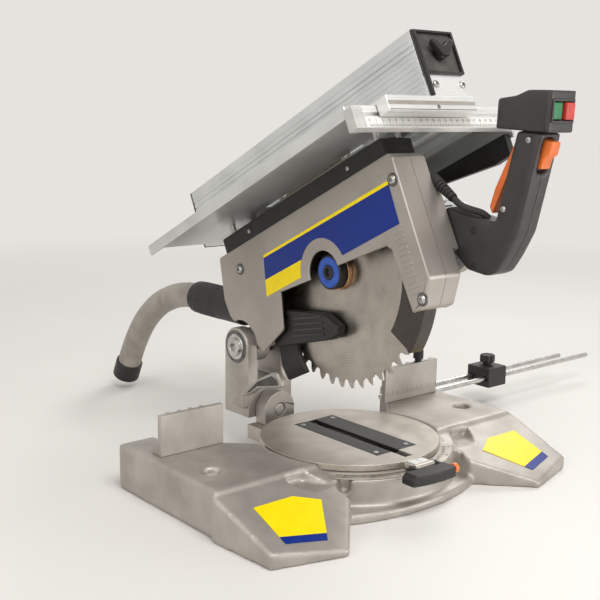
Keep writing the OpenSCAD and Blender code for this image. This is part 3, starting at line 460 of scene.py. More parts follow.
# Tinted guard: dark brown polycarbonate, fairly glossy, scuffed by dust
GUARD = surfaced("smoked_polycarbonate", ("#241d18", "#3a2e26"), 35, (0.18, 0.36), 2.0, 0.08, 0.05, IOR=1.58)
# Moulded ABS in signal colours: even, with a soft gloss
ORANGE = surfaced("orange_abs", ("#d9692a", "#ec7a33"), 20, (0.28, 0.4), 0.8, 0.12, 0.05, IOR=1.53)
GREEN = surfaced("green_abs", ("#12693c", "#1c7a49"), 14, (0.25, 0.38), 0.7, 0.1, 0.04, IOR=1.53)
RED = surfaced("red_abs", ("#b5322b", "#c93f36"), 14, (0.25, 0.38), 0.7, 0.1, 0.04, IOR=1.53)
BLUE = surfaced("blue_abs", ("#1b48a6", "#2a5bc0"), 12, (0.25, 0.38), 0.7, 0.1, 0.04, IOR=1.53)
# Clear acetal end piece: milky, lets light through
CLEAR = surfaced("milky_acetal", ("#d9d9d5", "#e8e8e4"), 10, (0.25, 0.4), 1.0,
                 IOR=1.48, Transmission_Weight=0.45)
# Wound copper and laminated iron inside the motor
COPPER = surfaced("lacquered_copper_winding", ("#7d4a2a", "#a8683c"), 6, (0.3, 0.45), 1.5, 0.4, 0.4,
                  (1, 0.1, 1), Metallic=0.9)
IRON = surfaced("laminated_iron", ("#4c4a47", "#65625e"), 10, (0.4, 0.55), 0.9, 0.5, 0.3, (1, 0.02, 0.02),
                Metallic=0.8)
# Printed scale plate: white lacquer on metal, faintly rubbed
SCALE = surfaced("lacquered_scale_plate", ("#dcdbd6", "#e9e8e4"), 22, (0.3, 0.42), 1.2, IOR=1.5)
# Printing ink: flat black. The same flat black paints the shade inside the motor cap's vents
INK_AND_PAINTED_SHADE = surfaced("printing_ink_and_painted_shade", ("#161616", "#242424"), 3, (0.5, 0.65), 0.8, IOR=1.5)


# A wave texture repeats at this share of a unit when its scale is 1
WAVE_PITCH = 0.314


def ringed(name, tones, rough, ring_mm, centre, turn, axis, **sockets):
    """Metal with tool rings about an axis."""
    made, tree, shader = started(name, **sockets)
    place = add(tree, "ShaderNodeTexCoord")
    laid = add(tree, "ShaderNodeMapping", {
        "Vector": place.outputs["Object"], "Rotation": turn, "Location": centre})
    rings = add(tree, "ShaderNodeTexWave", {
        "Vector": laid.outputs[0], "Scale": WAVE_PITCH / (ring_mm * MM), "Distortion": 1.2, "Detail": 2.0,
        "Detail Scale": 1.5}, wave_type="RINGS", rings_direction=axis)
    patches = speckle(tree, 30)
    mixed = add(tree, "ShaderNodeMath", {0: rings.outputs["Fac"], 1: 0.35, 2: patches},
                operation="MULTIPLY_ADD")
    colour = toned(tree, mixed.outputs[0], *tones, 0.35, 0.95)
    tree.links.new(colour, shader.inputs["Base Color"])
    span = add(tree, "ShaderNodeMapRange", {
        "Value": mixed.outputs[0], "From Min": 0.35, "From Max": 0.95, "To Min": rough[0],
        "To Max": rough[1]})
    tree.links.new(span.outputs[0], shader.inputs["Roughness"])
    relief = add(tree, "ShaderNodeBump", {
        "Strength": 0.12, "Distance": 0.05 * MM, "Height": rings.outputs["Fac"]})
    tree.links.new(relief.outputs[0], shader.inputs["Normal"])
    return made


# Places that a mapping needs to read the arm's own level coordinates, and those about the blade's axis
ARM_CENTRE = ARM.inverted().to_translation()
HUB_CENTRE = ARM_CENTRE - Vector((0, *HUB)) * MM
# Machined aluminium table: bright, with the rings of facing cuts
TABLE = ringed("faced_aluminium", ("#a8a097", "#c6bfb6"), (0.3, 0.46), 2.2, (0, 0, 0), (0, 0, 0), "Z",
               Metallic=0.85)
# Ground tool steel: grey, with grinding rings about the bore
BLADE = ringed("ground_blade_steel", ("#9d968e", "#bdb7ae"), (0.24, 0.38), 2.0, HUB_CENTRE, ALONG_ARM, "X",
               Metallic=1.0, Anisotropic=0.6)
round_hub = add(BLADE.node_tree, "ShaderNodeTangent", direction_type="RADIAL", axis="X")
BLADE.node_tree.links.new(round_hub.outputs[0], BLADE.node_tree.nodes["Principled BSDF"].inputs["Tangent"])


def printed(name, field, second, pick, rough=0.32):
    """Printed film: a field colour and a second one where pick says so, under a clear satin face."""
    made, tree, shader = started(name, IOR=1.5, Specular_IOR_Level=0.35)
    place = add(tree, "ShaderNodeTexCoord")
    worn = speckle(tree, 14)
    base = add(tree, "ShaderNodeMix", {0: pick(tree, place), 6: linear(field), 7: linear(second)},
               data_type="RGBA")
    shade = add(tree, "ShaderNodeMapRange", {"Value": worn, "To Min": 0.9, "To Max": 1.1})
    toneful = add(tree, "ShaderNodeVectorMath", {0: base.outputs[2], 1: shade.outputs[0]},
                  operation="MULTIPLY")
    tree.links.new(toneful.outputs[0], shader.inputs["Base Color"])
    span = add(tree, "ShaderNodeMapRange", {"Value": worn, "To Min": rough - 0.08, "To Max": rough + 0.1})
    tree.links.new(span.outputs[0], shader.inputs["Roughness"])
    return made


def casing_stripes(tree, place):
    """1 on the stripe along the label's top and on the block at its rear foot."""
    laid = add(tree, "ShaderNodeMapping", {
        "Vector": place.outputs["Object"], "Rotation": ALONG_ARM, "Location": ARM_CENTRE})
    parts = add(tree, "ShaderNodeSeparateXYZ", {0: laid.outputs[0]})
    top = add(tree, "ShaderNodeMath", {0: parts.outputs["Z"], 1: 94.5 * MM}, operation="GREATER_THAN")
    low = add(tree, "ShaderNodeMath", {0: parts.outputs["Z"], 1: 66.5 * MM}, operation="LESS_THAN")
    rear = add(tree, "ShaderNodeMath", {0: parts.outputs["Y"], 1: -176 * MM}, operation="GREATER_THAN")
    block = add(tree, "ShaderNodeMath", {0: low.outputs[0], 1: rear.outputs[0]}, operation="MULTIPLY")
    marked = add(tree, "ShaderNodeMath", {0: top.outputs[0], 1: block.outputs[0]}, operation="MAXIMUM")
    return marked.outputs[0]


# How far a point lies off the low edge of a foot label, for each metre out and back, and at the origin
FOOT_EDGE = {"out": -0.2616, "back": 1.0302, "start": 0.20906}


def foot_stripe(tree, place):
    """1 on the stripe along the low edge of the foot labels."""
    parts = add(tree, "ShaderNodeSeparateXYZ", {0: place.outputs["Object"]})
    out = add(tree, "ShaderNodeMath", {0: parts.outputs["X"]}, operation="ABSOLUTE")
    back = add(tree, "ShaderNodeMath", {0: parts.outputs["Y"], 1: FOOT_EDGE["back"], 2: FOOT_EDGE["start"]},
               operation="MULTIPLY_ADD")
    off_edge = add(tree, "ShaderNodeMath", {0: out.outputs[0], 1: FOOT_EDGE["out"], 2: back.outputs[0]},
                   operation="MULTIPLY_ADD")
    marked = add(tree, "ShaderNodeMath", {0: off_edge.outputs[0], 1: 10.5 * MM}, operation="LESS_THAN")
    return marked.outputs[0]


# Printed polyester film: flat strong colour under a clear satin face
CASING_FILM = printed("blue_printed_film", "#072b82", "#fde000", casing_stripes)
FOOT_FILM = printed("yellow_printed_film", "#f9de05", "#072b82", foot_stripe)

# Spiral hose of soft grey PVC: smooth outside, with the faint ribs of the coil in its wall
HOSE_GREY, hose_tree, hose_shader = started("grey_pvc_hose", IOR=1.52, Roughness=0.5)
hose_map = add(hose_tree, "ShaderNodeUVMap", uv_map="along")
HOSE_RIB_MM = 5
hose_ribs = add(hose_tree, "ShaderNodeTexWave", {
    "Vector": hose_map.outputs[0], "Scale": WAVE_PITCH / (HOSE_RIB_MM * MM)}, bands_direction="X")
hose_mix = add(hose_tree, "ShaderNodeMath", {
    0: hose_ribs.outputs["Fac"], 1: 0.12, 2: speckle(hose_tree, 26)}, operation="MULTIPLY_ADD")
hose_colour = toned(hose_tree, hose_mix.outputs[0], "#8b857d", "#a49e96", 0.35, 0.75)
hose_tree.links.new(hose_colour, hose_shader.inputs["Base Color"])
hose_relief = add(hose_tree, "ShaderNodeBump", {
    "Strength": 0.25, "Distance": 0.3 * MM, "Height": hose_ribs.outputs["Fac"]})
hose_tree.links.new(hose_relief.outputs[0], hose_shader.inputs["Normal"])


# Solids that keep their shape, and those whose edges are rounded

for kept, kept_finish in (
        ("mitre_scale", TABLE), ("foot_labels", FOOT_FILM), ("casing_label", CASING_FILM),
        ("deck_ruler", SCALE), ("motor_stator", IRON), ("motor_rotor", COPPER), ("spindle", STEEL),
        ("deck_columns", STEEL), ("saw_blade", BLADE)):
    dress(kept, kept_finish)

for node, width, finish, hollow in (
        ("fence_left", 1.2, CAST_AND_PAINTED_SHADE, False), ("fence_right", 1.2, CAST_AND_PAINTED_SHADE, False),
        ("turntable", 0.8, TABLE, False), ("kerf_insert", 0.5, NYLON, False),
        ("mitre_pointer", 0.4, SCALE, False),
        ("trunnion", 1.5, CAST_AND_PAINTED_SHADE, True), ("detent_button", 1.5, ORANGE, False),
        ("bevel_bracket", 3, CAST_AND_PAINTED_SHADE, True), ("bevel_lever", 2.5, NYLON, False),
        ("gear_case", 2, CAST_AND_PAINTED_SHADE, True),
        ("motor_housing", 1.5, MOTOR_BLACK, False), ("motor_end_cap", 3, PAINT, False),
        ("blade_cover", 2.5, NYLON, False), ("arm_block", 2, CAST_AND_PAINTED_SHADE, True),
        ("hose_cuff", 2, NYLON, False), ("hose_end_cuff", 1.5, NYLON, False),
        ("arbor_flanges", 1, BRONZE, False),
        ("lower_guard", 0.9, GUARD, False), ("guard_lever", 2.5, NYLON, False),
        ("deck_plate", 0.8, EXTRUDED, False), ("deck_rail", 0.8, ACROSS, False),
        ("deck_side_rail", 1, NYLON, False), ("height_knob", 2, NYLON, False),
        ("rip_extrusion", 1, EXTRUDED, False), ("rip_caps", 1.2, DUST_AND_PAINTED_SHADE, False),
        ("rip_wing_knob", 2.5, NYLON, False),
        ("trigger", 2.5, ORANGE, False), ("lock_latch", 2, ORANGE, False),
        ("start_button", 1.5, GREEN, False), ("stop_button", 1.5, RED, False),
        ("extension_rods", 1, STEEL, False), ("stop_block", 2.5, NYLON, False)):
    soften(node, width, finish, hollow)
for half in ("casing_left", "casing_right"):
    soften(half, 3.5, PAINT, seam_x=0)
split_skin(("handle_left", "handle_right"), HANDLE_MIDDLE, 1.3, 60, GRIP)
soften("arbor_cap", 1.5, NYLON)
cast_skin("base_casting", 2.6, 7, CAST_AND_PAINTED_SHADE)
cast_skin("mitre_lever", 0.9, 12, NYLON)
cast_skin("rip_bracket", 0.6, 3, ACROSS)
cast_skin("switch_box", 1.1, 34, GRIP)


# Hose, cable, gland and spring

hose = piece("hose_tube", hose_mesh, "arm", HOSE_GREY, ["dust_hose"])

gland_from = Vector((31, -376, 90))
gland_to = Vector((31, -394, 60))
gland_out = (gland_to - gland_from).normalized()
cable_points = [gland_to, gland_to + 0.25 * (gland_to - gland_from), Vector((33.5, -403, 46)),
                Vector((38, -409, 40)), Vector((43, -413.5, 35.5)), Vector((46, -416, 32)),
                Vector((50, -418.5, 25))]
cable_mesh = tube([ARM @ (p * MM) for p in smooth_path(cable_points, 5)], 4 * MM, 20, RIGHT)
piece("handle_cable_tube", cable_mesh, "arm", RUBBER, ["handle_cable"])

# Strain relief: a taper with ribs that bend in turn
GLAND_L = 35
gland_profile = [(0.5, -6, ""), (7, -6, ""), (7, 3, "")]
for rib in range(6):
    rib_at = 4 + rib * 5
    rib_r = 6.9 - 0.25 * rib
    gland_profile += [(rib_r, rib_at, ""), (rib_r, rib_at + 3, ""), (rib_r - 1.2, rib_at + 3.4, ""),
                      (rib_r - 1.2, rib_at + 4.6, "")]
gland_profile += [(5.2, GLAND_L - 0.6, ""), (0.5, GLAND_L - 0.6, "")]
gland_mesh = turned(gland_profile)
gland_mesh.transform(ARM @ aimed(gland_from * MM, gland_out))
piece("cable_gland_finished", smoothed(gland_mesh, CRISP), "arm", RUBBER, ["cable_gland"])

SPRING_TURNS = 4
TURN_STEPS = 24
SPRING_R = 13
spring_path = []
for step in range(SPRING_TURNS * TURN_STEPS + 1):
    turns = step / TURN_STEPS
    angle = 2 * math.pi * turns
    round_pin = Vector((5.6 + 3.2 * turns, SPRING_R * math.cos(angle), SPRING_R * math.sin(angle)))
    spring_path.append(HINGE + round_pin * MM)
spring_mesh = tube(spring_path, 1.2 * MM, 12, RIGHT)
piece("return_spring_wire", spring_mesh, "bevel_bracket", WIRE_AND_PAINTED_SHADE, ["return_spring"])


# Turned pieces

socket_bolt = turned([
    (0.2, -2, ""), (18, -2, ""), (18, 1.2, ""), (17.2, 2, ""), (13.4, 2, ""), (13, 2.4, ""),
    (13, 4.6, ""), (12.2, 5.6, ""), (7.6, 5.8, ""), (7, 5.2, ""), (6.2, 5.2, ""),
    (5.4, 5.2, "hex"), (5.4, 1.5, "hex"), (0.2, 1.5, "hex")], 48)
on_left_cheek = aimed(HINGE + CHEEK * MM * LEFT, LEFT)
hinge_left = socket_bolt.copy()
hinge_left.transform(on_left_cheek)
hinge_right = socket_bolt.copy()
hinge_right.transform(aimed(HINGE + CHEEK * MM * RIGHT, RIGHT))
hinge_shaft = turned([(0.2, -CHEEK, ""), (8, -CHEEK, ""), (8, CHEEK, ""), (0.2, CHEEK, "")], 32)
hinge_shaft.transform(aimed(HINGE, RIGHT))
# Dark ring round the left hinge bolt: painted shade in the well round it
well_shade_ring = turned([(14, -1, ""), (23, -1, ""), (23, 0.6, ""), (14, 0.6, ""), (14, -1, "")], 48, closed_ends=False)
well_shade_ring.transform(on_left_cheek)
piece("hinge_well", smoothed(well_shade_ring, CRISP), "bevel_bracket", WIRE_AND_PAINTED_SHADE)
hinge_mesh = smoothed(joined([hinge_left, hinge_right, hinge_shaft]), CRISP)
piece("hinge_pin_finished", hinge_mesh, "bevel_bracket", STEEL, ["hinge_pin"])

knob_mesh = turned([
    (0.2, -15, ""), (2.5, -15, ""), (2.5, 0.4, ""), (5, 0.4, ""), (5, 5, ""), (7.2, 5, "fluted"),
    (7.5, 6, "fluted"), (7.5, 17, "fluted"), (6.8, 18, "fluted"), (5, 18, ""), (0.2, 17.4, "")], 72, 18, 0.7)
knob_mesh.transform(Matrix.Translation(Vector((205, 76, 108)) * MM))
knob_mesh = smoothed(knob_mesh, CRISP)
piece("fence_stop_knob_finished", knob_mesh, "fence_stop_knob", NYLON, ["fence_stop_knob"])

knob_mesh = turned([
    (0.2, 53, ""), (4, 53, ""), (4, 62.4, ""), (7, 62.4, ""), (7, 67, ""), (11.2, 67, "fluted"),
    (12, 68, "fluted"), (12, 77.6, "fluted"), (11, 79, "fluted"), (8, 79, ""), (7, 78.2, ""),
    (0.2, 78.2, "")], 96, 8, 2.0)
knob_mesh.transform(Matrix.Translation(Vector((417, 121, 0)) * MM))
piece("stop_knob_finished", smoothed(knob_mesh, CRISP), "stop_knob", NYLON, ["stop_knob"])

# Black plug with a socket in the middle of the arbor cap, and a coloured ring round it
on_arbor_cap = aimed(on_arm(-19.6, *HUB), LEFT)
plug_mesh = turned([
    (0.2, -0.5, ""), (9.2, -0.5, ""), (9.2, 1.6, ""), (8.4, 2.2, ""), (5.6, 2.2, ""), (5, 1.6, ""),
    (4.6, 1.6, "hex"), (4.6, -4, "hex"), (0.2, -4, "hex")], 48)
plug_mesh.transform(on_arbor_cap)
piece("arbor_plug", smoothed(plug_mesh, CRISP), "blade", NYLON)
ring_mesh = turned([
    (9.2, -0.5, ""), (19.4, -0.5, ""), (19.4, 0.3, ""), (18.8, 0.9, ""), (9.8, 0.9, ""), (9.2, 0.3, ""),
    (9.2, -0.5, "")], 64, closed_ends=False)
ring_mesh.transform(on_arbor_cap)
piece("arbor_ring", smoothed(ring_mesh, CRISP), "blade", BLUE)


# Screws: one head on each of a set of points, aimed by the points

screw_tree = bpy.data.node_groups.new("heads on points", "GeometryNodeTree")
screw_tree.interface.new_socket("Points", in_out="INPUT", socket_type="NodeSocketGeometry")
screw_tree.interface.new_socket("Head", in_out="INPUT", socket_type="NodeSocketObject")
screw_tree.interface.new_socket("Finish", in_out="INPUT", socket_type="NodeSocketMaterial")
screw_tree.interface.new_socket("Mesh", in_out="OUTPUT", socket_type="NodeSocketGeometry")
asked = add(screw_tree, "NodeGroupInput")
head = add(screw_tree, "GeometryNodeObjectInfo", {"Object": asked.outputs["Head"]})
aim = add(screw_tree, "GeometryNodeInputNamedAttribute", {"Name": "aim"}, data_type="FLOAT_VECTOR")
size = add(screw_tree, "GeometryNodeInputNamedAttribute", {"Name": "size"}, data_type="FLOAT")
facing = add(screw_tree, "FunctionNodeAlignRotationToVector", {"Vector": aim.outputs[0]}, axis="Z")
heads = add(screw_tree, "GeometryNodeInstanceOnPoints", {
    "Points": asked.outputs["Points"], "Instance": head.outputs["Geometry"], "Rotation": facing.outputs[0],
    "Scale": size.outputs[0]})
solid = add(screw_tree, "GeometryNodeRealizeInstances", {"Geometry": heads.outputs["Instances"]})
coated = add(screw_tree, "GeometryNodeSetMaterial", {
    "Geometry": solid.outputs[0], "Material": asked.outputs["Finish"]})
add(screw_tree, "NodeGroupOutput", {"Mesh": coated.outputs[0]})

# Bars: a row of them, each a step on from the last and turned on about Z

bar_tree = bpy.data.node_groups.new("row of bars", "GeometryNodeTree")
for name, kind in (("Count", "Int"), ("Start", "Vector"), ("Step", "Vector"), ("First turn", "Float"),
                   ("Turn", "Float"), ("Bar", "Vector"), ("Finish", "Material")):
    bar_tree.interface.new_socket(name, in_out="INPUT", socket_type="NodeSocket" + kind)
bar_tree.interface.new_socket("Mesh", in_out="OUTPUT", socket_type="NodeSocketGeometry")
asked = add(bar_tree, "NodeGroupInput")
line = add(bar_tree, "GeometryNodeMeshLine", {
    "Count": asked.outputs["Count"], "Start Location": asked.outputs["Start"],
    "Offset": asked.outputs["Step"]})
bar = add(bar_tree, "GeometryNodeMeshCube", {"Size": asked.outputs["Bar"]})
row = add(bar_tree, "GeometryNodeInstanceOnPoints", {
    "Points": line.outputs[0], "Instance": bar.outputs["Mesh"]})
number = add(bar_tree, "GeometryNodeInputIndex")
turn = add(bar_tree, "ShaderNodeMath", {
    0: number.outputs[0], 1: asked.outputs["Turn"], 2: asked.outputs["First turn"]}, operation="MULTIPLY_ADD")
spin = add(bar_tree, "ShaderNodeCombineXYZ", {"Z": turn.outputs[0]})
fanned = add(bar_tree, "GeometryNodeRotateInstances", {
    "Instances": row.outputs[0], "Rotation": spin.outputs[0], "Local Space": False})
solid = add(bar_tree, "GeometryNodeRealizeInstances", {"Geometry": fanned.outputs[0]})
coated = add(bar_tree, "GeometryNodeSetMaterial", {
    "Geometry": solid.outputs[0], "Material": asked.outputs["Finish"]})
add(bar_tree, "NodeGroupOutput", {"Mesh": coated.outputs[0]})


def grown(tree, values, seed=None, place=NO_TURN, soft_mm=0.0):
    """Plain mesh of what a tree makes from its named inputs, put in place."""
    carrier = bpy.data.objects.new("carrier", seed or bpy.data.meshes.new("seed"))
    modifier = carrier.modifiers.new("tree", "NODES")
    modifier.node_group = tree
    names = {s.name: s.identifier for s in tree.interface.items_tree if s.in_out == "INPUT"}
    for name, value in values.items():
        modifier[names[name]] = value
    if soft_mm:
        softener = carrier.modifiers.new("soft", "BEVEL")
        softener.width = soft_mm * MM
        softener.segments = 2
    mesh = shown_mesh(carrier)
    mesh.transform(place)
    return mesh


def bars(count, start, step, bar_size, finish, place=NO_TURN, first_turn=0.0, turn_on=0.0, soft_mm=0.0):
    """Row of bars, with sizes in millimetres and turns in degrees."""
    values = {
        "Count": count, "Start": Vector(start) * MM, "Step": Vector(step) * MM, "Bar": Vector(bar_size) * MM,
        "First turn": math.radians(first_turn), "Turn": math.radians(turn_on), "Finish": finish}
    return grown(bar_tree, values, None, place, soft_mm)


# Heads a millimetre in radius, for the points to scale: a domed one and a flat one, both with a socket
button_head = bpy.data.objects.new("button_head", smoothed(turned([
    (0.02, -0.1, ""), (1, -0.1, ""), (1, 0.2, ""), (0.9, 0.42, ""), (0.68, 0.6, ""), (0.55, 0.64, ""),
    (0.44, 0.64, "hex"), (0.44, 0.2, "hex"), (0.02, 0.2, "hex")], 24), CRISP))
sunk_head = bpy.data.objects.new("sunk_head", smoothed(turned([
    (0.02, -0.1, ""), (1, -0.1, ""), (1, 0.08, ""), (0.94, 0.14, ""), (0.4, 0.16, ""), (0.34, 0.16, "hex"),
    (0.34, -0.05, "hex"), (0.02, -0.05, "hex")], 24), CRISP))
for head in (button_head, sunk_head):
    scene.collection.objects.link(head)


def screws(name, body, places, head, finish=SCREW, replaced=()):
    """Screws on a body: each place is its point, the way it faces and its head's radius in millimetres."""
    seed = bpy.data.meshes.new("points")
    seed.from_pydata([p for p, _, _ in places], [], [])
    aims = [part for _, way, _ in places for part in way]
    seed.attributes.new("aim", "FLOAT_VECTOR", "POINT").data.foreach_set("vector", aims)
    sizes = [radius for _, _, radius in places]
    seed.attributes.new("size", "FLOAT", "POINT").data.foreach_set("value", sizes)
    mesh = grown(screw_tree, {"Head": head, "Finish": finish}, seed)
    return piece(name, mesh, body, finish, replaced)


def arm_way(x, y, z):
    """Direction drawn level, as the arm rests."""
    return (ARM.to_3x3() @ Vector((x, y, z))).normalized()


def left_of_arm(x, radius, places):
    """Screw places on a left face of the arm, drawn back and up."""
    return [(on_arm(x, y, z), LEFT, radius) for y, z in places]


AHEAD = arm_way(0, -1, 0)
CASING_LEFT = -29
HANDLE_LEFT = 36.2
casing_screw_places = ((-367, 97), (-357, -44), (-45, 98))
screws("casing_screw_heads", "arm", left_of_arm(CASING_LEFT, 5.5, casing_screw_places), button_head, SCREW,
       ["casing_screws"])
# Dark flat discs behind the casing screw heads: painted shade in the screws' wells
screws("casing_screw_wells", "arm", left_of_arm(CASING_LEFT, 8, casing_screw_places), sunk_head, WIRE_AND_PAINTED_SHADE)
screws("handle_screws", "arm", left_of_arm(HANDLE_LEFT, 3.6, ((-512, 80), (-452, 24))), button_head)
screws("handle_plugs", "arm", left_of_arm(HANDLE_LEFT, 5, ((-403, 17), (-388, -20))), sunk_head, INK_AND_PAINTED_SHADE)
screws("cover_screws", "arm", left_of_arm(-27, 3, ((-84, 139), (-300, 139))), button_head)
screws("motor_cap_screws", "arm", [
    (on_arm(180, MOTOR[0] + 46 * math.cos(a), MOTOR[1] + 46 * math.sin(a)), RIGHT, 3)
    for a in (math.radians(45 + 90 * k) for k in range(4))], button_head)
screws("bracket_screws", "rip_fence", [(on_arm(x, -428, 187), AHEAD, 4.6) for x in (20, 65)], button_head)
screws("slide_screw", "rip_fence", [(on_arm(4, -436, 155), AHEAD, 2.4)], sunk_head, WIRE_AND_PAINTED_SHADE)
screws("insert_screws", "turntable", [
    (Vector((x, y, 57)) * MM, UP, 3.2) for x in (-20, 32) for y in (-70, 68)], sunk_head)
screws("fence_bolts", "base", [
    (Vector((side * x, 88, 65)) * MM, UP, 4.5) for side in (-1, 1) for x in (179, 227)], button_head)
screws("rod_clamp_screws", "base", [(Vector((241, y, 57)) * MM, UP, 3.4) for y in (108, 134)], sunk_head)
for head in (button_head, sunk_head):
    bpy.data.objects.remove(head)


# Scales: short, middle and long ticks, and plain numbers


def numbers(texts, height_mm):
    """Mesh of plain numbers: each one is its text and the matrix that lays it in place."""
    made = []
    for text, place in texts:
        curve = bpy.data.curves.new("number", "FONT")
        curve.body = text
        curve.size = height_mm * MM
        curve.align_x = "CENTER"
        curve.align_y = "CENTER"
        curve.extrude = 0.03 * MM
        curve.resolution_u = 3
        mesh = shown_mesh(bpy.data.objects.new("number", curve))
        mesh.transform(place)
        made.append(mesh)
    return joined(made)


STILL = (0, 0, 0)
ruler_face = -418.85
ruler_zero = -92
ruler_turn = Matrix.Rotation(math.pi / 2 - RAISE, 4, "X")
ruler_marks = [
    bars(251, (ruler_zero, ruler_face, 140.2), (1, 0, 0), (0.22, 0.1, 2.4), INK_AND_PAINTED_SHADE, ARM),
    bars(51, (ruler_zero, ruler_face, 140.9), (5, 0, 0), (0.28, 0.1, 3.8), INK_AND_PAINTED_SHADE, ARM),
    bars(26, (ruler_zero, ruler_face, 141.4), (10, 0, 0), (0.34, 0.1, 4.8), INK_AND_PAINTED_SHADE, ARM),
    numbers([(str(n), Matrix.Translation(on_arm(ruler_zero + 10 * n, ruler_face, 146.4)) @ ruler_turn)
             for n in range(26)], 4.6),
]
piece("ruler_marks", joined(ruler_marks), "deck", INK_AND_PAINTED_SHADE)

scale_face = 46.55
scale_number_place = Matrix.Translation(Vector((0, -127.4, scale_face)) * MM)
scale_marks = [
    bars(91, (0, -120.6, scale_face), STILL, (0.35, 4, 0.1), INK_AND_PAINTED_SHADE, first_turn=-45, turn_on=1),
    bars(19, (0, -121.6, scale_face), STILL, (0.5, 6, 0.1), INK_AND_PAINTED_SHADE, first_turn=-45, turn_on=5),
    numbers([(str(abs(a)), Matrix.Rotation(math.radians(a), 4, "Z") @ scale_number_place)
             for a in (-45, -30, -15, 0, 15, 30, 45)], 5),
]
piece("mitre_scale_marks", joined(scale_marks), "base", INK_AND_PAINTED_SHADE)

fence_marks = [
    bars(21, (140, 71.95, 68.5), (5, 0, 0), (0.35, 0.1, 5), INK_AND_PAINTED_SHADE),
    bars(11, (140, 71.95, 70), (10, 0, 0), (0.45, 0.1, 8), INK_AND_PAINTED_SHADE),
]
piece("fence_marks", joined(fence_marks), "base", INK_AND_PAINTED_SHADE)

pointer_line = bars(1, (0, -121.5, 56.25), STILL, (0.5, 11, 0.1), INK_AND_PAINTED_SHADE)
piece("pointer_line", pointer_line, "turntable", INK_AND_PAINTED_SHADE)


# Rows of ribs


def moved(x, y, z, turn_deg=0.0, axis="X"):
    """Matrix that turns a shape and puts it at a place in millimetres."""
    return Matrix.Translation(Vector((x, y, z)) * MM) @ Matrix.Rotation(math.radians(turn_deg), 4, axis)


def bar_row(name, body, slot, finish, *row, **options):
    """Piece that is a row of bars, given as their count, start, step and size."""
    return piece(name, bars(*row, finish, **options), body, finish)


MOTOR_RIBS = 28
along_tab = ARM @ moved(-20, -141, -13, 14)
around_motor = ARM @ moved(0, *MOTOR, 90, "Y")
around_cuff = moved(0, 0, 187, -90)
bar_row("turntable_rim_ribs", "turntable", "table", TABLE, 101, (0, -115.1, 53), STILL, (1.1, 1.2, 6.4),
        first_turn=-75, turn_on=1.5, soft_mm=0.3)
bar_row("leg_comb_ribs", "arm", "casing", PAINT, 13, (CASING_LEFT, -349, -34), (0, -0.2, 6.6), (1.4, 17, 2.2),
        place=ARM, soft_mm=0.5)
bar_row("guard_lever_ridges", "guard_lever", "black", GRIP, 4, (0, 0, -12), (0, 0, 7.5), (4, 60, 3),
        place=along_tab, soft_mm=1)
bar_row("motor_ribs", "arm", "motor", MOTOR_BLACK, MOTOR_RIBS, (49.8, 0, 116), STILL, (2.4, 3, 62),
        place=around_motor, turn_on=360 / MOTOR_RIBS, soft_mm=0.7)
# Flat black bars that paint the shade inside the vent slots of the motor's end cap
bar_row("motor_cap_vents", "arm", "black", INK_AND_PAINTED_SHADE, 20, (30, 0, 187.6), STILL, (18, 3, 1.2),
        place=around_motor, turn_on=18, soft_mm=0.3)
bar_row("cuff_ribs", "arm", "black", NYLON, 36, (24, 0, 300), STILL, (1, 1.6, 50),
        place=around_cuff, turn_on=10, soft_mm=0.35)
bar_row("rip_fence_ribs", "rip_fence", "extruded", EXTRUDED, 12, (7.9, -178, 173), (0, 0, 6.6),
        (0.8, 486, 1.1), place=ARM, soft_mm=0.3)


def framed(sides, depths, soft_mm, placed):
    """Frame of bars: each side is two places across and two up, drawn between two depths."""
    made = []
    for across0, across1, up0, up1 in sides:
        corners = ((across0, up0), (across1, up0), (across1, up1), (across0, up1))
        rings = [[placed(across, depth, up) for across, up in corners] for depth in depths]
        made.append(rounded(lofted(rings), soft_mm))
    return smoothed(joined(made))


# Frame round the recess in the rip fence's front cap, with a strip down the fence's edge
cap_sides = ((8, 11, 172, 254), (69, 72, 199.4, 254), (10.5, 69.5, 251, 254), (10.5, 69.5, 199.4, 202))
piece("cap_frame", framed(cap_sides, (-426, -432), 0.8, on_arm), "rip_fence", NYLON)

# Painted shade: a greige bar paints the shade and reflection in the groove along the front of the rip fence's
# slide, and a dark bar paints the shadow in the slot under it
bar_row("slide_groove", "rip_fence", "steel", CAST_AND_PAINTED_SHADE, 1, (-3.5, -436, 159.6), STILL, (142.2, 0.5, 5),
        place=ARM, soft_mm=0.15)
bar_row("slide_slot", "rip_fence", "steel", WIRE_AND_PAINTED_SHADE, 1, (-3.5, -436, 151.6), STILL, (142.2, 0.4, 0.9),
        place=ARM, soft_mm=0.15)

# Painted shade: a thin dark plate on the left face of the hinge bracket's horn, where its recess lies in
# shadow
horn_recess = outlined([(104, 120), (92, 117), (89, 110.5), (102, 107), (135, 99.5), (150, 88), (160, 84),
                        (134, 106)], -46.25, -45.7)
piece("horn_recess", smoothed(horn_recess), "bevel_bracket", DUST_AND_PAINTED_SHADE)


# Carbide tips: one brazed on the face of each tooth

TEETH = 48
around_hub = ARM @ moved(0, *HUB, 90, "Y")
bar_row("carbide_tips", "blade", "steel", SCREW, TEETH, (146.4, 0.9, 0), STILL, (7, 2, 3),
        place=around_hub, first_turn=90, turn_on=360 / TEETH, soft_mm=0.3)

# Milky end piece over the rail's left end
end_mesh = outlined([(-419.4, 137.2), (-404.6, 137.2), (-404.6, 163.6), (-419.4, 163.6)], -113, -99)
piece("rail_end_piece", smoothed(rounded(end_mesh, 1)), "deck", CLEAR).data.transform(ARM)

# Bezel round the two push buttons
box_way = Vector((0, -0.8784, -0.4779))
box_up = Vector((0, -0.4779, 0.8784))
box_front = Vector((0, -478, 109)) + 71 * box_way


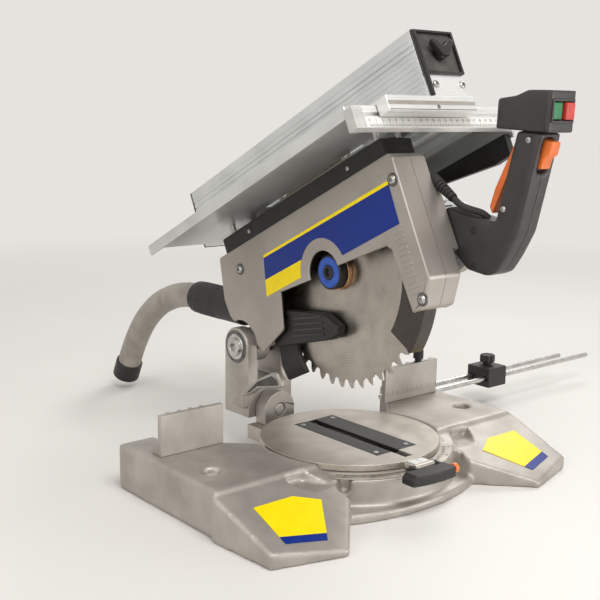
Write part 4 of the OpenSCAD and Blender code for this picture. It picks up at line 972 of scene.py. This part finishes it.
def on_box(across, out, up):
    """Point at the switch box's front, in millimetres across it, out of it and up it."""
    return ARM @ ((box_front + Vector((across, 0, 0)) + up * box_up + out * box_way) * MM)


bezel_sides = ((35, 37.2, 10.5, 35.5), (70.8, 73, 10.5, 35.5), (37.2, 70.8, 10.5, 13),
               (37.2, 70.8, 33, 35.5))
piece("button_bezel", framed(bezel_sides, (-0.5, 1.4), 0.5, on_box), "arm", GRIP)


# Studio: a pale floor, a pale surround and four soft lamps

FLOOR_HALF = 6
floor_corners = [(-FLOOR_HALF, -FLOOR_HALF), (FLOOR_HALF, -FLOOR_HALF), (FLOOR_HALF, FLOOR_HALF),
                 (-FLOOR_HALF, FLOOR_HALF)]
floor_mesh = lofted([[Vector((x, y, z)) for x, y in floor_corners] for z in (-0.02, -0.0003)])
floor = bpy.data.objects.new("floor", floor_mesh)
scene.collection.objects.link(floor)
PALE = linear("#f1eeea")
# Strength of the surround as it is seen, and as it lights the saw
STUDIO_LEVEL = 0.9
LIGHTING_LEVEL = 0.55
# Matt pale paper: it takes the saw's shadow near by and fades into the surround far off
paper = surfaced("pale_floor", ("#e6e3df", "#ebe8e4"), 400, (0.6, 0.7), 200)
floor_tree = paper.node_tree
floor_place = add(floor_tree, "ShaderNodeTexCoord")
floor_reach = add(floor_tree, "ShaderNodeVectorMath", {0: floor_place.outputs["Object"]}, operation="LENGTH")
far_off = add(floor_tree, "ShaderNodeMapRange", {
    "Value": floor_reach.outputs["Value"], "From Min": 0.6, "From Max": 2.6})
floor_seen = add(floor_tree, "ShaderNodeLightPath")
faded = add(floor_tree, "ShaderNodeMath", {0: far_off.outputs[0], 1: floor_seen.outputs["Is Camera Ray"]},
            operation="MULTIPLY")
glow = add(floor_tree, "ShaderNodeEmission", {"Color": PALE, "Strength": STUDIO_LEVEL})
blend = add(floor_tree, "ShaderNodeMixShader", {
    0: faded.outputs[0], 1: floor_tree.nodes["Principled BSDF"].outputs[0], 2: glow.outputs[0]})
floor_tree.links.new(blend.outputs[0], floor_tree.nodes["Material Output"].inputs["Surface"])
floor_mesh.materials.append(paper)

world = bpy.data.worlds.new("studio")
scene.world = world
world.use_nodes = True
surround = world.node_tree
seen = add(surround, "ShaderNodeLightPath")
direct = add(surround, "ShaderNodeMath", {
    0: seen.outputs["Is Camera Ray"], 1: seen.outputs["Is Glossy Ray"]}, operation="MAXIMUM")
shown = add(surround, "ShaderNodeMath", {0: direct.outputs[0], 1: seen.outputs["Is Transmission Ray"]},
            operation="MAXIMUM")
level = add(surround, "ShaderNodeMapRange", {
    "Value": shown.outputs[0], "To Min": LIGHTING_LEVEL, "To Max": STUDIO_LEVEL})
backdrop = surround.nodes["Background"]
backdrop.inputs["Color"].default_value = PALE
surround.links.new(level.outputs[0], backdrop.inputs["Strength"])


def lamp(name, place, target, size, watts):
    """Soft square lamp, aimed at a point."""
    made = bpy.data.objects.new(name, bpy.data.lights.new(name, "AREA"))
    made.data.size = size
    made.data.energy = watts
    made.matrix_world = aimed(Vector(place), Vector(place) - Vector(target))
    scene.collection.objects.link(made)


SAW_MIDDLE = (0, 0, 0.25)
lamp("key", (-0.3, -1.1, 2.0), SAW_MIDDLE, 1.1, 26)
lamp("fill", (-1.9, -0.2, 0.9), SAW_MIDDLE, 1.3, 9)
lamp("rim", (1.5, 0.7, 1.5), SAW_MIDDLE, 0.9, 12)
lamp("bounce", (0.7, -1.4, 0.12), (0.05, 0, 0.4), 0.9, 12)
